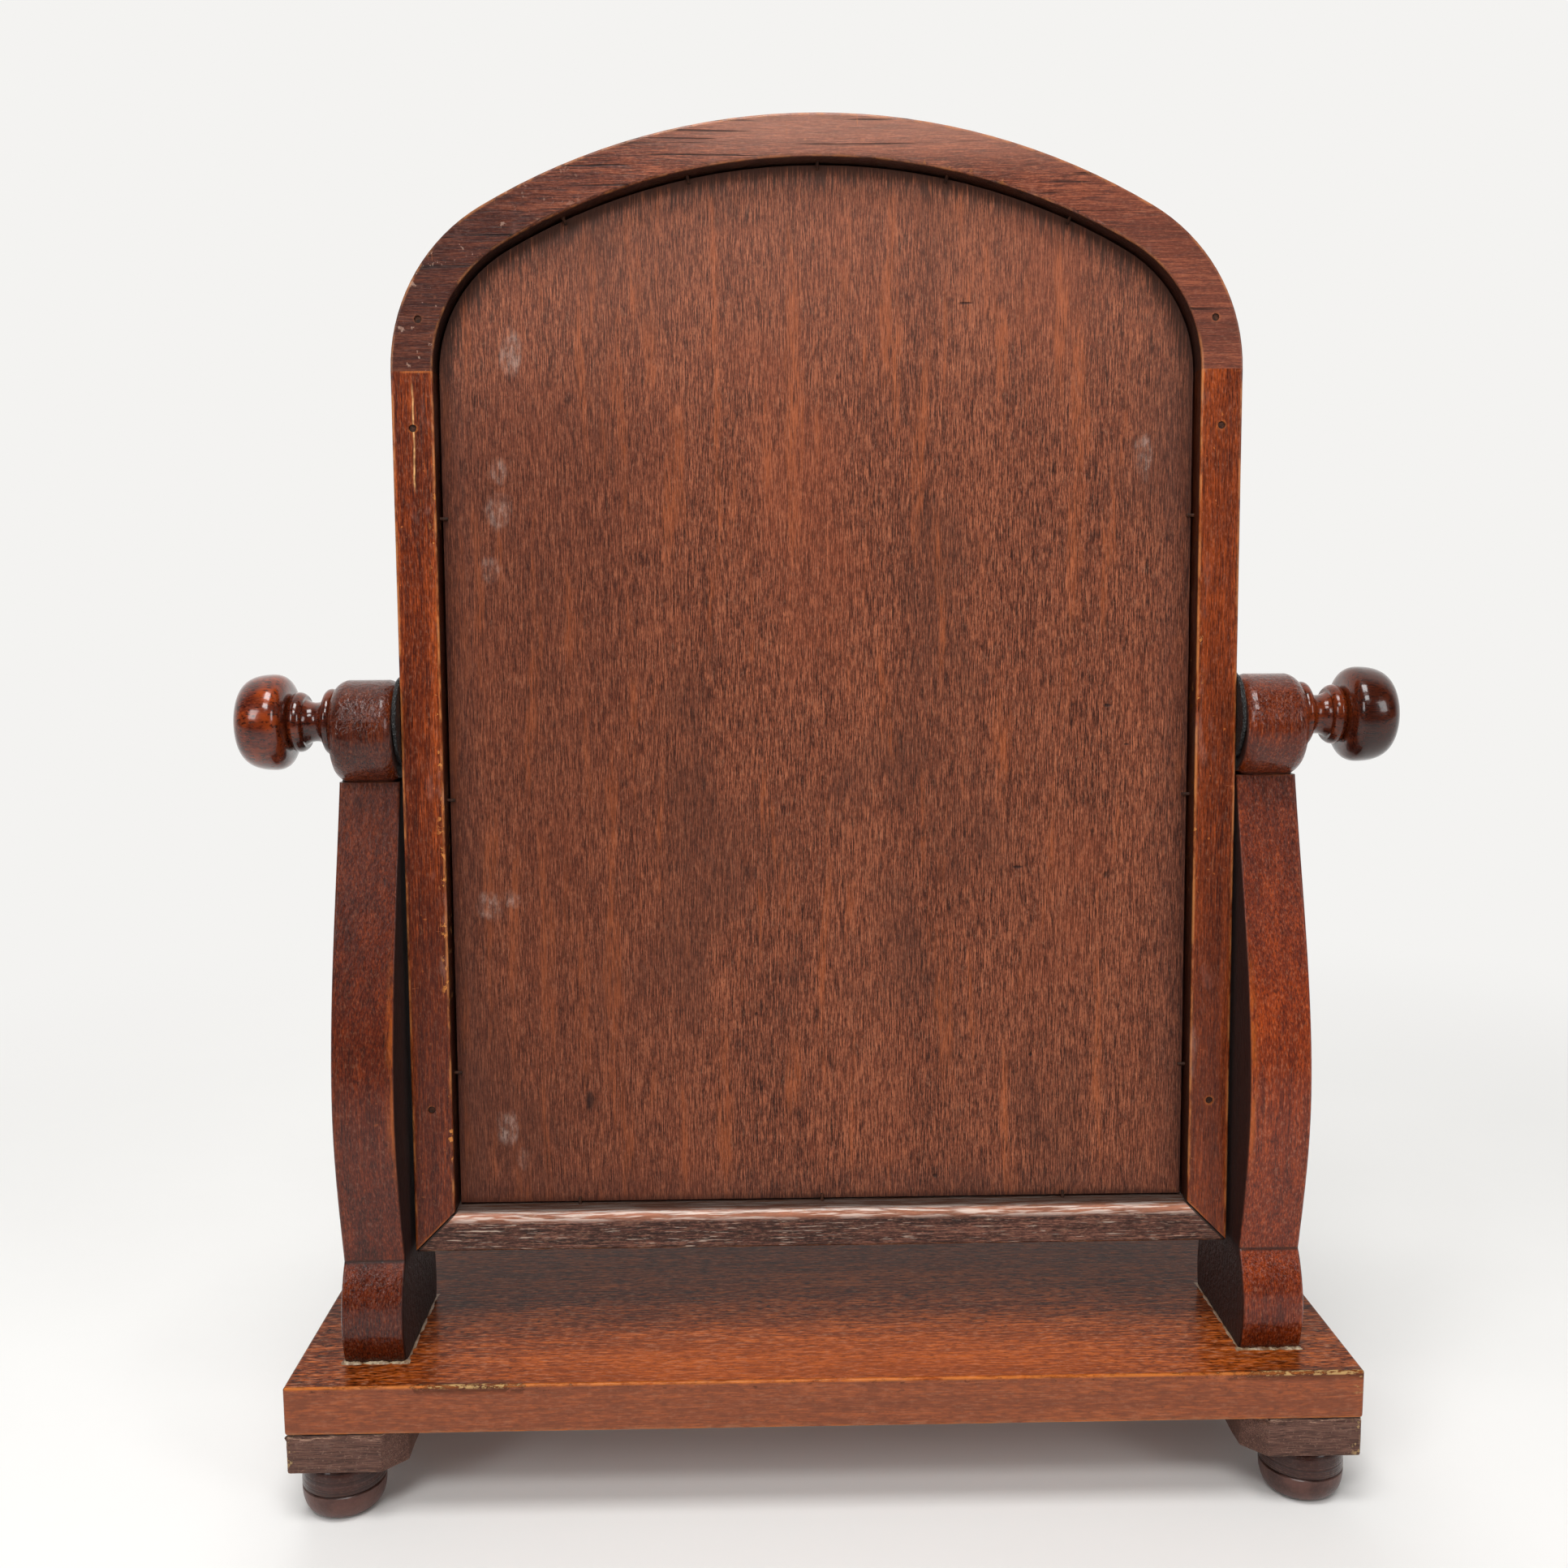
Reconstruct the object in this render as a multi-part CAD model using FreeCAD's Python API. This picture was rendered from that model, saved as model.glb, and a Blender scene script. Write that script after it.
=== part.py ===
"""Swing toilet mirror: an arched mirror between two scroll uprights on a platform base.

Lengths are in millimetres and angles in degrees. The glass faces -Y and +Z is up.
Right is the side on the right of a user in front of the glass, which is +X.
The origin is the middle of the footprint, on the surface that the feet stand on.
"""
import FreeCAD
import Part
import math
import os

# Platform base
base_width = 430.0
base_depth = 150.0
base_thickness = 20.0
base_edge_round = 1.2

# Corner blocks under the base
block_length = 47.0
block_depth = 46.0
block_thickness = 16.5
block_corner_cut = 9.0
block_screw_diameter = 3.5
block_screw_head = 7.0
block_screw_length = 28.0
block_screw_edge = 11.0

# Turned bun feet
foot_height = 22.5
foot_diameter = 33.5
foot_sole_diameter = 19.0
foot_crown_diameter = 27.0
foot_widest_height = 11.5
foot_groove_width = 1.2
foot_groove_depth = 0.7
foot_inset = 18.0
spigot_diameter = 12.0
spigot_depth = 10.0

# Uprights: setbacks run forward from the base's back edge, rises run up from its top
upright_inset = 19.5
upright_thickness = 25.0
upright_edge_round = 1.2
sole_back = 19.0
sole_front = 77.5
scroll_back = 15.5
scroll_front = 78.6
scroll_rise = 17.0
ankle_back = 23.5
ankle_front = 67.0
ankle_rise = 41.0
ankle_slope = -0.2
belly_back = 15.0
belly_depth = 40.0
belly_rise = 102.0
neck_back = 45.4
neck_slope = 0.26
roll_radius = 21.0
roll_drop = 4.0
roll_rim_drop = 2.6
roll_rim_reach = 6.0
roll_rim_bow_drop = 0.75
roll_rim_bow_reach = 2.2
roll_rim_overrun = 0.1
upright_screw_diameter = 4.8
upright_screw_head = 9.6
upright_screw_length = 46.0
upright_screw_setbacks = (30.0, 62.0)

# Pivot of the mirror, a little above the centre of the rolls
pivot_setback = 51.0
pivot_rise = 259.0
mirror_lean = 1.8
side_gap = 2.0
spacer_diameter = 38.0

# Mirror frame, which fills the width between the uprights: heights run from the pivot
frame_above = 236.5
frame_below = 219.0
arch_rise = 98.5
haunch_radius = 73.0
back_width = 16.5
back_reach = 11.0
lip_width = 5.0
lip_setback = 5.5
lip_thickness = 2.5
quirk_width = 1.5
cushion_reach = 13.0
cushion_shoulder = 7.0
frame_edge_round = 1.0
rail_edge_round = 4.0
mitre_gap = 0.4

# What the frame holds
glass_thickness = 3.5
paper_thickness = 0.3
board_thickness = 4.0
rebate_gap = 1.0
brad_diameter = 1.3
brad_length = 9.0
brad_depth = 6.0
brads_along_stile = 3
brads_along_rail = 3
brads_round_arch = 5

# Joints inside the frame
dowel_diameter = 6.0
dowel_length = 24.0
dowel_setback = 2.75
key_side = 10.0
key_thickness = 2.0
nail_diameter = 1.6
nail_head_diameter = 2.8
nail_head_thickness = 0.8
nail_length = 13.0
nail_sink = 0.6
nail_above_joint = 20.0
nail_below_joint = 22.0
nail_above_mitre = 60.0

# Swing screws, their nut plates and knobs
screw_diameter = 7.94
screw_reach = 12.0
screw_in_knob = 20.0
plate_height = 34.0
plate_depth = 13.0
plate_thickness = 2.5
plate_screw_spacing = 24.0
plate_screw_diameter = 2.6
plate_screw_head = 5.0
plate_screw_length = 11.0
washer_thickness = 1.0
washer_diameter = 25.0
knob_length = 38.5
knob_diameter = 39.0
knob_widest = 25.0
flange_diameter = 27.0
flange_length = 3.6
flange_crown = 0.9
neck_diameter = 16.0
neck_shoulder = 2.6
bead_diameter = 24.4
bead_start = 12.0
bead_end = 17.8
bead_crown = 1.6
knob_face_diameter = 17.0

# Points of the wood screws
screw_point_diameter = 0.8

# Clearances
glue_gap = 0.1
turning_gap = 0.3
thread_gap = 0.05

X_AXIS = FreeCAD.Vector(1, 0, 0)
Y_AXIS = FreeCAD.Vector(0, 1, 0)
Z_AXIS = FreeCAD.Vector(0, 0, 1)
ORIGIN = FreeCAD.Vector(0, 0, 0)

# Places worked out from the sizes above
base_bottom = foot_height + block_thickness
base_top = base_bottom + base_thickness
back_edge = base_depth / 2
pivot = FreeCAD.Vector(0, back_edge - pivot_setback, base_top + pivot_rise)
upright_outer = base_width / 2 - upright_inset
upright_inner = upright_outer - upright_thickness
frame_half = upright_inner - side_gap
frame_width = 2 * frame_half
frame_bottom = pivot.z - frame_below
frame_top = pivot.z + frame_above
spring = frame_top - arch_rise
haunch_x = frame_half - haunch_radius
crown_radius = ((arch_rise ** 2 + haunch_x ** 2 - haunch_radius ** 2)
                / (2 * (arch_rise - haunch_radius)))
crown_z = frame_top - crown_radius
crown_angle = math.degrees(math.atan2(haunch_x, spring - crown_z))
roll_rise = pivot_rise - roll_drop
neck_rise = roll_rise - math.sqrt(roll_radius ** 2 - (pivot_setback - neck_back) ** 2)
knob_seat = upright_outer + washer_thickness
screw_tip = frame_half - screw_reach
glass_back = -lip_setback + glass_thickness
paper_back = glass_back + paper_thickness
board_back = paper_back + board_thickness


def rod(diameter, start, direction, length):
    """A plain cylinder from a point along a direction."""
    return Part.makeCylinder(diameter / 2, length, start, direction)


def wood_screw(diameter, head_diameter, length, start, direction, gap=0.0):
    """A countersunk screw, or with a gap the hole for one, with its flat head at start."""
    head = (head_diameter - diameter) / 2
    point = diameter
    shank = rod(diameter + 2 * gap, start, direction, length - point + gap)
    cone = Part.makeCone(head_diameter / 2 + gap, diameter / 2 + gap, head, start, direction)
    tip = Part.makeCone(diameter / 2 + gap, screw_point_diameter / 2, point,
                        start + direction * (length - point + gap), direction)
    return shank.fuse([cone, tip]).removeSplitter()


def both_sides(name, shape):
    """Writes a piece of the right side and its mirror image for the left."""
    save("right_" + name, shape)
    save("left_" + name, shape.mirror(ORIGIN, X_AXIS))


def save(name, shape):
    shape.exportStep("parts/%s.step" % name)


def with_mirrored(shapes):
    """The given shapes of the right side, and their images on the left."""
    return shapes + [shape.mirror(ORIGIN, X_AXIS) for shape in shapes]


def leaned(shape):
    """A piece of the mirror, turned about the pivot to the lean that the mirror rests at."""
    turned = shape.copy()
    turned.rotate(pivot, X_AXIS, mirror_lean)
    return turned


# Base, blocks and feet

def corners():
    """Name, X direction and Y direction of each corner of the base."""
    return [("right_back", 1, 1), ("left_back", -1, 1), ("right_front", 1, -1), ("left_front", -1, -1)]


def corner_point(x_sign, y_sign, from_end, from_edge, z):
    return FreeCAD.Vector(x_sign * (base_width / 2 - from_end), y_sign * (base_depth / 2 - from_edge), z)


def block_screws(x_sign, y_sign, gap=0.0):
    """Two screws up through one block into the base."""
    places = [(block_length - block_screw_edge, block_screw_edge + block_corner_cut / 2),
              (block_screw_edge, block_depth - block_screw_edge)]
    return [wood_screw(block_screw_diameter, block_screw_head, block_screw_length,
                       corner_point(x_sign, y_sign, end, edge, foot_height), Z_AXIS, gap)
            for end, edge in places]


def upright_screws(gap=0.0):
    """The screws up through the base into the right upright."""
    middle = (upright_inner + upright_outer) / 2
    return [wood_screw(upright_screw_diameter, upright_screw_head, upright_screw_length,
                       FreeCAD.Vector(middle, back_edge - setback, base_bottom), Z_AXIS, gap)
            for setback in upright_screw_setbacks]


def spigot_hole(x_sign, y_sign):
    start = corner_point(x_sign, y_sign, foot_inset, foot_inset, foot_height)
    return rod(spigot_diameter + 2 * glue_gap, start, Z_AXIS, block_thickness + spigot_depth + glue_gap)


def base_board():
    board = Part.makeBox(base_width, base_depth, base_thickness,
                         FreeCAD.Vector(-base_width / 2, -base_depth / 2, base_bottom))
    board = board.makeFillet(base_edge_round, board.Edges)
    holes = with_mirrored(upright_screws(glue_gap))
    for _, x_sign, y_sign in corners():
        holes += [spigot_hole(x_sign, y_sign)] + block_screws(x_sign, y_sign, glue_gap)
    return board.cut(holes)


def corner_block(x_sign, y_sign):
    outline = [(0, 0), (block_length - block_corner_cut, 0), (block_length, block_corner_cut),
               (block_length, block_depth), (0, block_depth), (0, 0)]
    wire = Part.makePolygon([corner_point(x_sign, y_sign, end, edge, foot_height) for end, edge in outline])
    block = Part.Face(wire).extrude(Z_AXIS * block_thickness)
    return block.cut([spigot_hole(x_sign, y_sign)] + block_screws(x_sign, y_sign, glue_gap))


def bezier(points):
    curve = Part.BezierCurve()
    curve.setPoles(points)
    return curve.toShape()


def chain(start, pieces, place):
    """A wire through lines, arcs (a middle point and an end) and curves (poles and an end).

    Each piece is ("line", end), ("arc", middle, end) or ("curve", pole, ..., end), in the
    flat coordinates that place turns into points.
    """
    edges = []
    here = start
    for kind, *points in pieces:
        spots = [place(*here)] + [place(*point) for point in points]
        if kind == "line":
            edges.append(Part.makeLine(*spots))
        elif kind == "arc":
            edges.append(Part.Arc(*spots).toShape())
        else:
            edges.append(bezier(spots))
        here = points[-1]
    return Part.Wire(edges)


def bun_foot(x_sign, y_sign):
    axis = corner_point(x_sign, y_sign, foot_inset, foot_inset, 0)
    radius = foot_diameter / 2
    sole = foot_sole_diameter / 2
    crown = foot_crown_diameter / 2
    spigot = spigot_diameter / 2
    low = foot_widest_height - foot_groove_width / 2
    high = foot_widest_height + foot_groove_width / 2
    top = foot_height + block_thickness + spigot_depth
    wire = chain((0, 0), [("line", (sole, 0)),
                          ("curve", (radius, 0), (radius, low)),
                          ("line", (radius - foot_groove_depth, foot_widest_height)),
                          ("line", (radius, high)),
                          ("curve", (radius, foot_height), (crown, foot_height)),
                          ("line", (spigot, foot_height)),
                          ("line", (spigot, top)),
                          ("line", (0, top)),
                          ("line", (0, 0))],
                 lambda r, z: axis + FreeCAD.Vector(r, 0, z))
    return Part.Face(wire).revolve(axis, Z_AXIS, 360)


# Uprights

def sweep(start, start_slope, end, end_slope):
    """Poles of a curve between two points, with the given setback per rise at its ends."""
    third = (end[1] - start[1]) / 3
    return [(start[0] + start_slope * third, start[1] + third),
            (end[0] - end_slope * third, end[1] - third), end]


def rim_waste():
    """What is eased away from the inner rim of the roll, from the neck over the crest to its front."""
    outside = 2 * roll_rim_drop
    axis = FreeCAD.Vector(upright_inner, back_edge - pivot_setback, base_top + roll_rise)
    wire = chain((-outside, roll_radius - roll_rim_drop), [
        ("line", (0, roll_radius - roll_rim_drop)),
        ("arc", (roll_rim_bow_reach, roll_radius - roll_rim_bow_drop),
         (roll_rim_reach, roll_radius + roll_rim_overrun)),
        ("line", (roll_rim_reach, roll_radius + outside)),
        ("line", (-outside, roll_radius + outside)),
        ("line", (-outside, roll_radius - roll_rim_drop))],
        lambda along, radius: axis + FreeCAD.Vector(along, 0, radius))
    ring = Part.Face(wire).revolve(axis, X_AXIS, 360)
    size = 4 * roll_radius
    above = Part.makeBox(size, size, size, axis - FreeCAD.Vector(size / 2, size / 2, 0))
    behind = Part.makeBox(size, size, axis.z - base_top - neck_rise,
                          FreeCAD.Vector(axis.x - size / 2, axis.y, base_top + neck_rise))
    return ring.common(above.fuse(behind))


def upright():
    neck = (neck_back, neck_rise)
    crest = (pivot_setback, roll_rise + roll_radius)
    brow = (pivot_setback + roll_radius, roll_rise)
    back_ankle = (ankle_back, ankle_rise)
    back_belly = (belly_back, belly_rise)
    front_belly = (belly_back + belly_depth, belly_rise)
    front_ankle = (ankle_front, ankle_rise)
    wire = chain((sole_back, 0), [("arc", (scroll_back, scroll_rise), back_ankle),
                                  ("curve", *sweep(back_ankle, ankle_slope, back_belly, 0)),
                                  ("curve", *sweep(back_belly, 0, neck, neck_slope)),
                                  ("arc", crest, brow),
                                  ("curve", *sweep(brow, 0, front_belly, 0)),
                                  ("curve", *sweep(front_belly, 0, front_ankle, ankle_slope)),
                                  ("arc", (scroll_front, scroll_rise), (sole_front, 0)),
                                  ("line", (sole_back, 0))],
                 lambda setback, rise: FreeCAD.Vector(upright_inner, back_edge - setback, base_top + rise))
    solid = Part.Face(wire).extrude(X_AXIS * upright_thickness)
    rims = [edge for edge in solid.Edges
            if abs(edge.BoundBox.XLength) < 1e-6 and edge.BoundBox.ZMin > base_top - 1e-6
            and edge.BoundBox.ZLength > 1e-6]
    solid = solid.makeFillet(upright_edge_round, rims)
    bore = rod(screw_diameter + 2 * turning_gap, FreeCAD.Vector(upright_inner, pivot.y, pivot.z), X_AXIS,
               upright_thickness)
    waste = rim_waste()
    middle = FreeCAD.Vector((upright_inner + upright_outer) / 2, 0, 0)
    return solid.cut([bore, waste, waste.mirror(middle, X_AXIS)] + upright_screws(glue_gap))


def ring(diameter, hole_diameter, start, thickness):
    outer = rod(diameter, start, X_AXIS, thickness)
    return outer.cut(rod(hole_diameter, start, X_AXIS, thickness))


# Mirror frame

def section(place, inner_round):
    """The frame's section: inward is measured from the outer edge, back from the pivot axis."""
    corner = 1 - math.sqrt(0.5)
    lip = back_width + lip_width
    front = -lip_setback - lip_thickness
    outer = frame_edge_round
    wire = chain((0, -cushion_shoulder), [
        ("line", (0, back_reach - outer)),
        ("arc", (outer * corner, back_reach - outer * corner), (outer, back_reach)),
        ("line", (back_width - inner_round, back_reach)),
        ("arc", (back_width - inner_round * corner, back_reach - inner_round * corner),
         (back_width, back_reach - inner_round)),
        ("line", (back_width, -lip_setback)),
        ("line", (lip, -lip_setback)),
        ("line", (lip, front)),
        ("line", (lip - quirk_width, front)),
        ("arc", ((lip - quirk_width) / 2, -cushion_reach), (0, -cushion_shoulder))], place)
    return Part.Face(wire)


def arch_rail():
    crown_axis = FreeCAD.Vector(0, pivot.y, crown_z)
    haunch_axis = FreeCAD.Vector(haunch_x, pivot.y, spring)
    crown = section(lambda inward, back: FreeCAD.Vector(0, pivot.y + back, frame_top - inward),
                    frame_edge_round)
    crown.rotate(crown_axis, Y_AXIS, -crown_angle)
    crown = crown.revolve(crown_axis, Y_AXIS, 2 * crown_angle)
    haunch = section(lambda inward, back: FreeCAD.Vector(frame_half - inward, pivot.y + back, spring),
                     frame_edge_round)
    haunch = haunch.revolve(haunch_axis, -Y_AXIS, 90 - crown_angle)
    arch = crown.fuse(with_mirrored([haunch])).removeSplitter()
    return arch.cut(with_mirrored([joint_dowel(glue_gap)] + frame_nails(glue_gap)) + brads(glue_gap))


def corner_wedge(gap):
    """The space beyond the right mitre, on the rail's side, drawn back from it by the gap."""
    reach = frame_width
    shift = gap * math.sqrt(0.5)
    points = [(0, 0), (-reach, reach), (-reach, -reach), (0, -reach), (0, 0)]
    wire = Part.makePolygon([FreeCAD.Vector(frame_half + x - shift, pivot.y - base_depth,
                                            frame_bottom + z - shift) for x, z in points])
    return Part.Face(wire).extrude(Y_AXIS * 2 * base_depth)


def stile():
    bar = section(lambda inward, back: FreeCAD.Vector(frame_half - inward, pivot.y + back, frame_bottom),
                  frame_edge_round).extrude(Z_AXIS * (spring - frame_bottom))
    bar = bar.cut(corner_wedge(-mitre_gap / 2))
    hole_end = FreeCAD.Vector(screw_tip - washer_thickness, pivot.y, pivot.z)
    screw_hole = rod(screw_diameter + 2 * turning_gap, hole_end, X_AXIS, screw_reach + washer_thickness)
    return bar.cut([screw_hole, plate_blank(glue_gap), joint_dowel(glue_gap), corner_key(glue_gap)]
                   + plate_screws(glue_gap) + frame_nails(glue_gap) + brads(glue_gap))


def bottom_rail():
    bar = section(lambda inward, back: FreeCAD.Vector(-frame_half, pivot.y + back, frame_bottom + inward),
                  rail_edge_round).extrude(X_AXIS * frame_width)
    wedge = corner_wedge(mitre_gap / 2)
    bar = bar.common(wedge).common(wedge.mirror(ORIGIN, X_AXIS))
    return bar.cut(with_mirrored([corner_key(glue_gap)]) + brads(glue_gap))


def joint_dowel(gap=0.0):
    """The dowel across the joint of the right stile and the arch."""
    start = FreeCAD.Vector(frame_half - back_width / 2, pivot.y + dowel_setback,
                           spring - dowel_length / 2 - gap)
    return rod(dowel_diameter + 2 * gap, start, Z_AXIS, dowel_length + 2 * gap)


def corner_key(gap=0.0):
    """The square key set cornerwise across the right mitre."""
    middle = FreeCAD.Vector(frame_half - back_width / 2, pivot.y, frame_bottom + back_width / 2)
    side = key_side + 2 * gap
    thick = key_thickness + 2 * gap
    key = Part.makeBox(side, thick, side, middle - FreeCAD.Vector(side / 2, thick / 2, side / 2))
    key.rotate(middle, Y_AXIS, 45)
    return key


def frame_nails(gap=0.0):
    """Nails driven from the back of the right side and punched below the surface.

    With a gap they are the holes, which are open to the surface.
    """
    inward = back_width / 2
    angle = math.asin(nail_above_joint / (haunch_radius - inward))
    places = [(haunch_x + (haunch_radius - inward) * math.cos(angle), spring + nail_above_joint),
              (frame_half - inward, spring - nail_below_joint),
              (frame_half - inward, frame_bottom + nail_above_mitre)]
    nails = []
    for x, z in places:
        surface = FreeCAD.Vector(x, pivot.y + back_reach, z)
        open_depth = nail_sink if gap else 0.0
        start = surface - Y_AXIS * (nail_sink - open_depth)
        shank = rod(nail_diameter + 2 * gap, start, -Y_AXIS, open_depth + nail_length + gap)
        head = rod(nail_head_diameter + 2 * gap, start, -Y_AXIS, open_depth + nail_head_thickness + gap)
        nails.append(shank.fuse(head).removeSplitter())
    return nails


def brads(gap=0.0):
    """Brads driven into the sides of the rebate, lying on the back of the board."""
    y = pivot.y + board_back + brad_diameter / 2
    inside = frame_half - back_width
    floor = frame_bottom + back_width
    places = []
    for count in range(brads_along_stile):
        z = floor + (spring - floor) * (count + 0.5) / brads_along_stile
        places += [(inside, z, 1, 0), (-inside, z, -1, 0)]
    for count in range(brads_along_rail):
        places.append((inside * (2 * count + 1 - brads_along_rail) / brads_along_rail, floor, 0, -1))
    reach = crown_radius - back_width
    for count in range(brads_round_arch):
        angle = math.radians(crown_angle) * (2 * count + 1 - brads_round_arch) / brads_round_arch
        across, up = math.sin(angle), math.cos(angle)
        places.append((reach * across, crown_z + reach * up, across, up))
    shapes = []
    for x, z, x_way, z_way in places:
        way = FreeCAD.Vector(x_way, 0, z_way)
        head = FreeCAD.Vector(x, y, z) - way * (brad_length - brad_depth)
        shapes.append(rod(brad_diameter + 2 * gap, head, way, brad_length + gap))
    return shapes


def sheet(front, back):
    """A flat sheet with the outline of the rebate, between two depths."""
    inset = back_width + rebate_gap
    half = frame_half - inset
    floor = frame_bottom + inset
    radius = haunch_radius - inset
    angle = math.radians(crown_angle)
    middle = angle + (math.pi / 2 - angle) / 2
    meet = (haunch_x + radius * math.sin(angle), spring + radius * math.cos(angle))
    bend = (haunch_x + radius * math.sin(middle), spring + radius * math.cos(middle))
    wire = chain((-half, floor), [("line", (half, floor)),
                                  ("line", (half, spring)),
                                  ("arc", bend, meet),
                                  ("arc", (0, frame_top - inset), (-meet[0], meet[1])),
                                  ("arc", (-bend[0], bend[1]), (-half, spring)),
                                  ("line", (-half, floor))],
                 lambda x, z: FreeCAD.Vector(x, pivot.y + front, z))
    return Part.Face(wire).extrude(Y_AXIS * (back - front))


# Swing screws and knobs

def plate_blank(gap=0.0):
    """The nut plate's outline, let into the outer edge of the right stile."""
    return Part.makeBox(plate_thickness + gap, plate_depth + 2 * gap, plate_height + 2 * gap,
                        FreeCAD.Vector(frame_half - plate_thickness - gap, pivot.y - plate_depth / 2 - gap,
                                       pivot.z - plate_height / 2 - gap))


def plate_screws(gap=0.0):
    return [wood_screw(plate_screw_diameter, plate_screw_head, plate_screw_length,
                       FreeCAD.Vector(frame_half, pivot.y, pivot.z + side * plate_screw_spacing / 2),
                       -X_AXIS, gap)
            for side in (1, -1)]


def nut_plate():
    inside = FreeCAD.Vector(frame_half - plate_thickness, pivot.y, pivot.z)
    thread = rod(screw_diameter + 2 * thread_gap, inside, X_AXIS, plate_thickness)
    return plate_blank().cut([thread] + plate_screws(glue_gap))


def swing_screw(gap=0.0):
    start = FreeCAD.Vector(screw_tip, pivot.y, pivot.z)
    return rod(screw_diameter + 2 * gap, start, X_AXIS, knob_seat - screw_tip + screw_in_knob + gap)


def knob():
    """The turned knob, drawn outward from its seat: flange, neck, bead and mushroom head."""
    flange = flange_diameter / 2
    neck = neck_diameter / 2
    bead = bead_diameter / 2 - bead_crown
    widest = knob_diameter / 2
    face = knob_face_diameter / 2
    neck_middle = (flange_length + bead_start) / 2
    bead_middle = (bead_start + bead_end) / 2
    wire = chain((0, 0), [("line", (0, flange - flange_crown)),
                          ("arc", (flange_length / 2, flange), (flange_length, flange - flange_crown)),
                          ("line", (flange_length, neck + neck_shoulder)),
                          ("arc", (neck_middle, neck), (bead_start, neck + neck_shoulder / 2)),
                          ("line", (bead_start, bead)),
                          ("arc", (bead_middle, bead_diameter / 2), (bead_end, bead)),
                          ("curve", (bead_end, widest), (knob_widest, widest)),
                          ("curve", (knob_length, widest), (knob_length, face)),
                          ("line", (knob_length, 0)),
                          ("line", (0, 0))],
                 lambda along, radius: FreeCAD.Vector(knob_seat + along, pivot.y, pivot.z + radius))
    solid = Part.Face(wire).revolve(pivot, X_AXIS, 360)
    return solid.cut(swing_screw(glue_gap))


os.makedirs("parts", exist_ok=True)

save("base_board", base_board())
for corner_name, x_way, y_way in corners():
    save(corner_name + "_block", corner_block(x_way, y_way))
    save(corner_name + "_foot", bun_foot(x_way, y_way))
save("block_screws", Part.makeCompound([screw for _, x_way, y_way in corners()
                                        for screw in block_screws(x_way, y_way)]))
save("upright_screws", Part.makeCompound(with_mirrored(upright_screws())))

both_sides("upright", upright())
loose_hole = screw_diameter + 2 * turning_gap
both_sides("spacer", ring(spacer_diameter, loose_hole, FreeCAD.Vector(frame_half, pivot.y, pivot.z),
                          side_gap))

save("arch_rail", leaned(arch_rail()))
both_sides("stile", leaned(stile()))
save("bottom_rail", leaned(bottom_rail()))
save("joint_dowels", leaned(Part.makeCompound(with_mirrored([joint_dowel()]))))
save("corner_keys", leaned(Part.makeCompound(with_mirrored([corner_key()]))))
save("frame_nails", leaned(Part.makeCompound(with_mirrored(frame_nails()))))
save("mirror_glass", leaned(sheet(-lip_setback, glass_back)))
save("backing_paper", leaned(sheet(glass_back, paper_back)))
save("back_board", leaned(sheet(paper_back, board_back)))
save("board_brads", leaned(Part.makeCompound(brads())))
both_sides("nut_plate", leaned(nut_plate()))
save("plate_screws", leaned(Part.makeCompound(with_mirrored(plate_screws()))))

both_sides("knob_washer", ring(washer_diameter, loose_hole, FreeCAD.Vector(upright_outer, pivot.y, pivot.z),
                               washer_thickness))
both_sides("knob", knob())
both_sides("swing_screw", swing_screw())
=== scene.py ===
"""Looks of a swing dressing mirror: an arched mirror between two scroll uprights on a platform.

Lengths are in metres, in the model's own frame: the glass faces -Y, the back faces +Y, +Z is up.
"""
import bpy
import math
from mathutils import Matrix, Vector, noise


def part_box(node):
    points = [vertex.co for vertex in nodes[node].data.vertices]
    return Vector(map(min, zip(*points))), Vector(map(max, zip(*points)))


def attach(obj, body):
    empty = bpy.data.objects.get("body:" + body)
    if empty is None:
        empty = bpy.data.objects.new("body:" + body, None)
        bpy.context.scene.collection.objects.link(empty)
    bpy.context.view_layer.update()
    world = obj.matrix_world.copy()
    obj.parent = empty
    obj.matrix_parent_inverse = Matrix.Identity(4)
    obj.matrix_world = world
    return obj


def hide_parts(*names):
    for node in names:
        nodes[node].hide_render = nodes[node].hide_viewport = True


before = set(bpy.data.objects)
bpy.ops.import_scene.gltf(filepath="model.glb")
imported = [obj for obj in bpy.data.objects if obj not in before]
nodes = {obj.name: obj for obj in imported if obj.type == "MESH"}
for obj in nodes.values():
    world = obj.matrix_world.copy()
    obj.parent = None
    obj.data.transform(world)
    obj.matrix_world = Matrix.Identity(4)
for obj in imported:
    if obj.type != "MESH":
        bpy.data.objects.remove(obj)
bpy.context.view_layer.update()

# Sizes that the finishes and the added pieces share with the model
BASE_HALF = 0.215
BASE_BACK = 0.075
BASE_TOP = 0.059
BASE_BOTTOM = 0.039
UPRIGHT_INNER = 0.1705
UPRIGHT_OUTER = 0.1955
SOLE_BACK = 0.056
SOLE_FRONT = -0.0025
NECK_HEIGHT = 0.2938
ANKLE_HEIGHT = 0.100
PIVOT = Vector((0, 0.024, 0.318))
LEAN = math.radians(1.8)
FRAME_HALF = 0.1685
BACK_WIDTH = 0.0165
FRAME_BOTTOM = 0.099
FRAME_TOP = 0.5545
SPRING = 0.456
HAUNCH_RADIUS = 0.073
HAUNCH_X = FRAME_HALF - HAUNCH_RADIUS
ARCH_RISE = FRAME_TOP - SPRING
CROWN_RADIUS = (ARCH_RISE ** 2 + HAUNCH_X ** 2 - HAUNCH_RADIUS ** 2) / (2 * (ARCH_RISE - HAUNCH_RADIUS))
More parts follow.
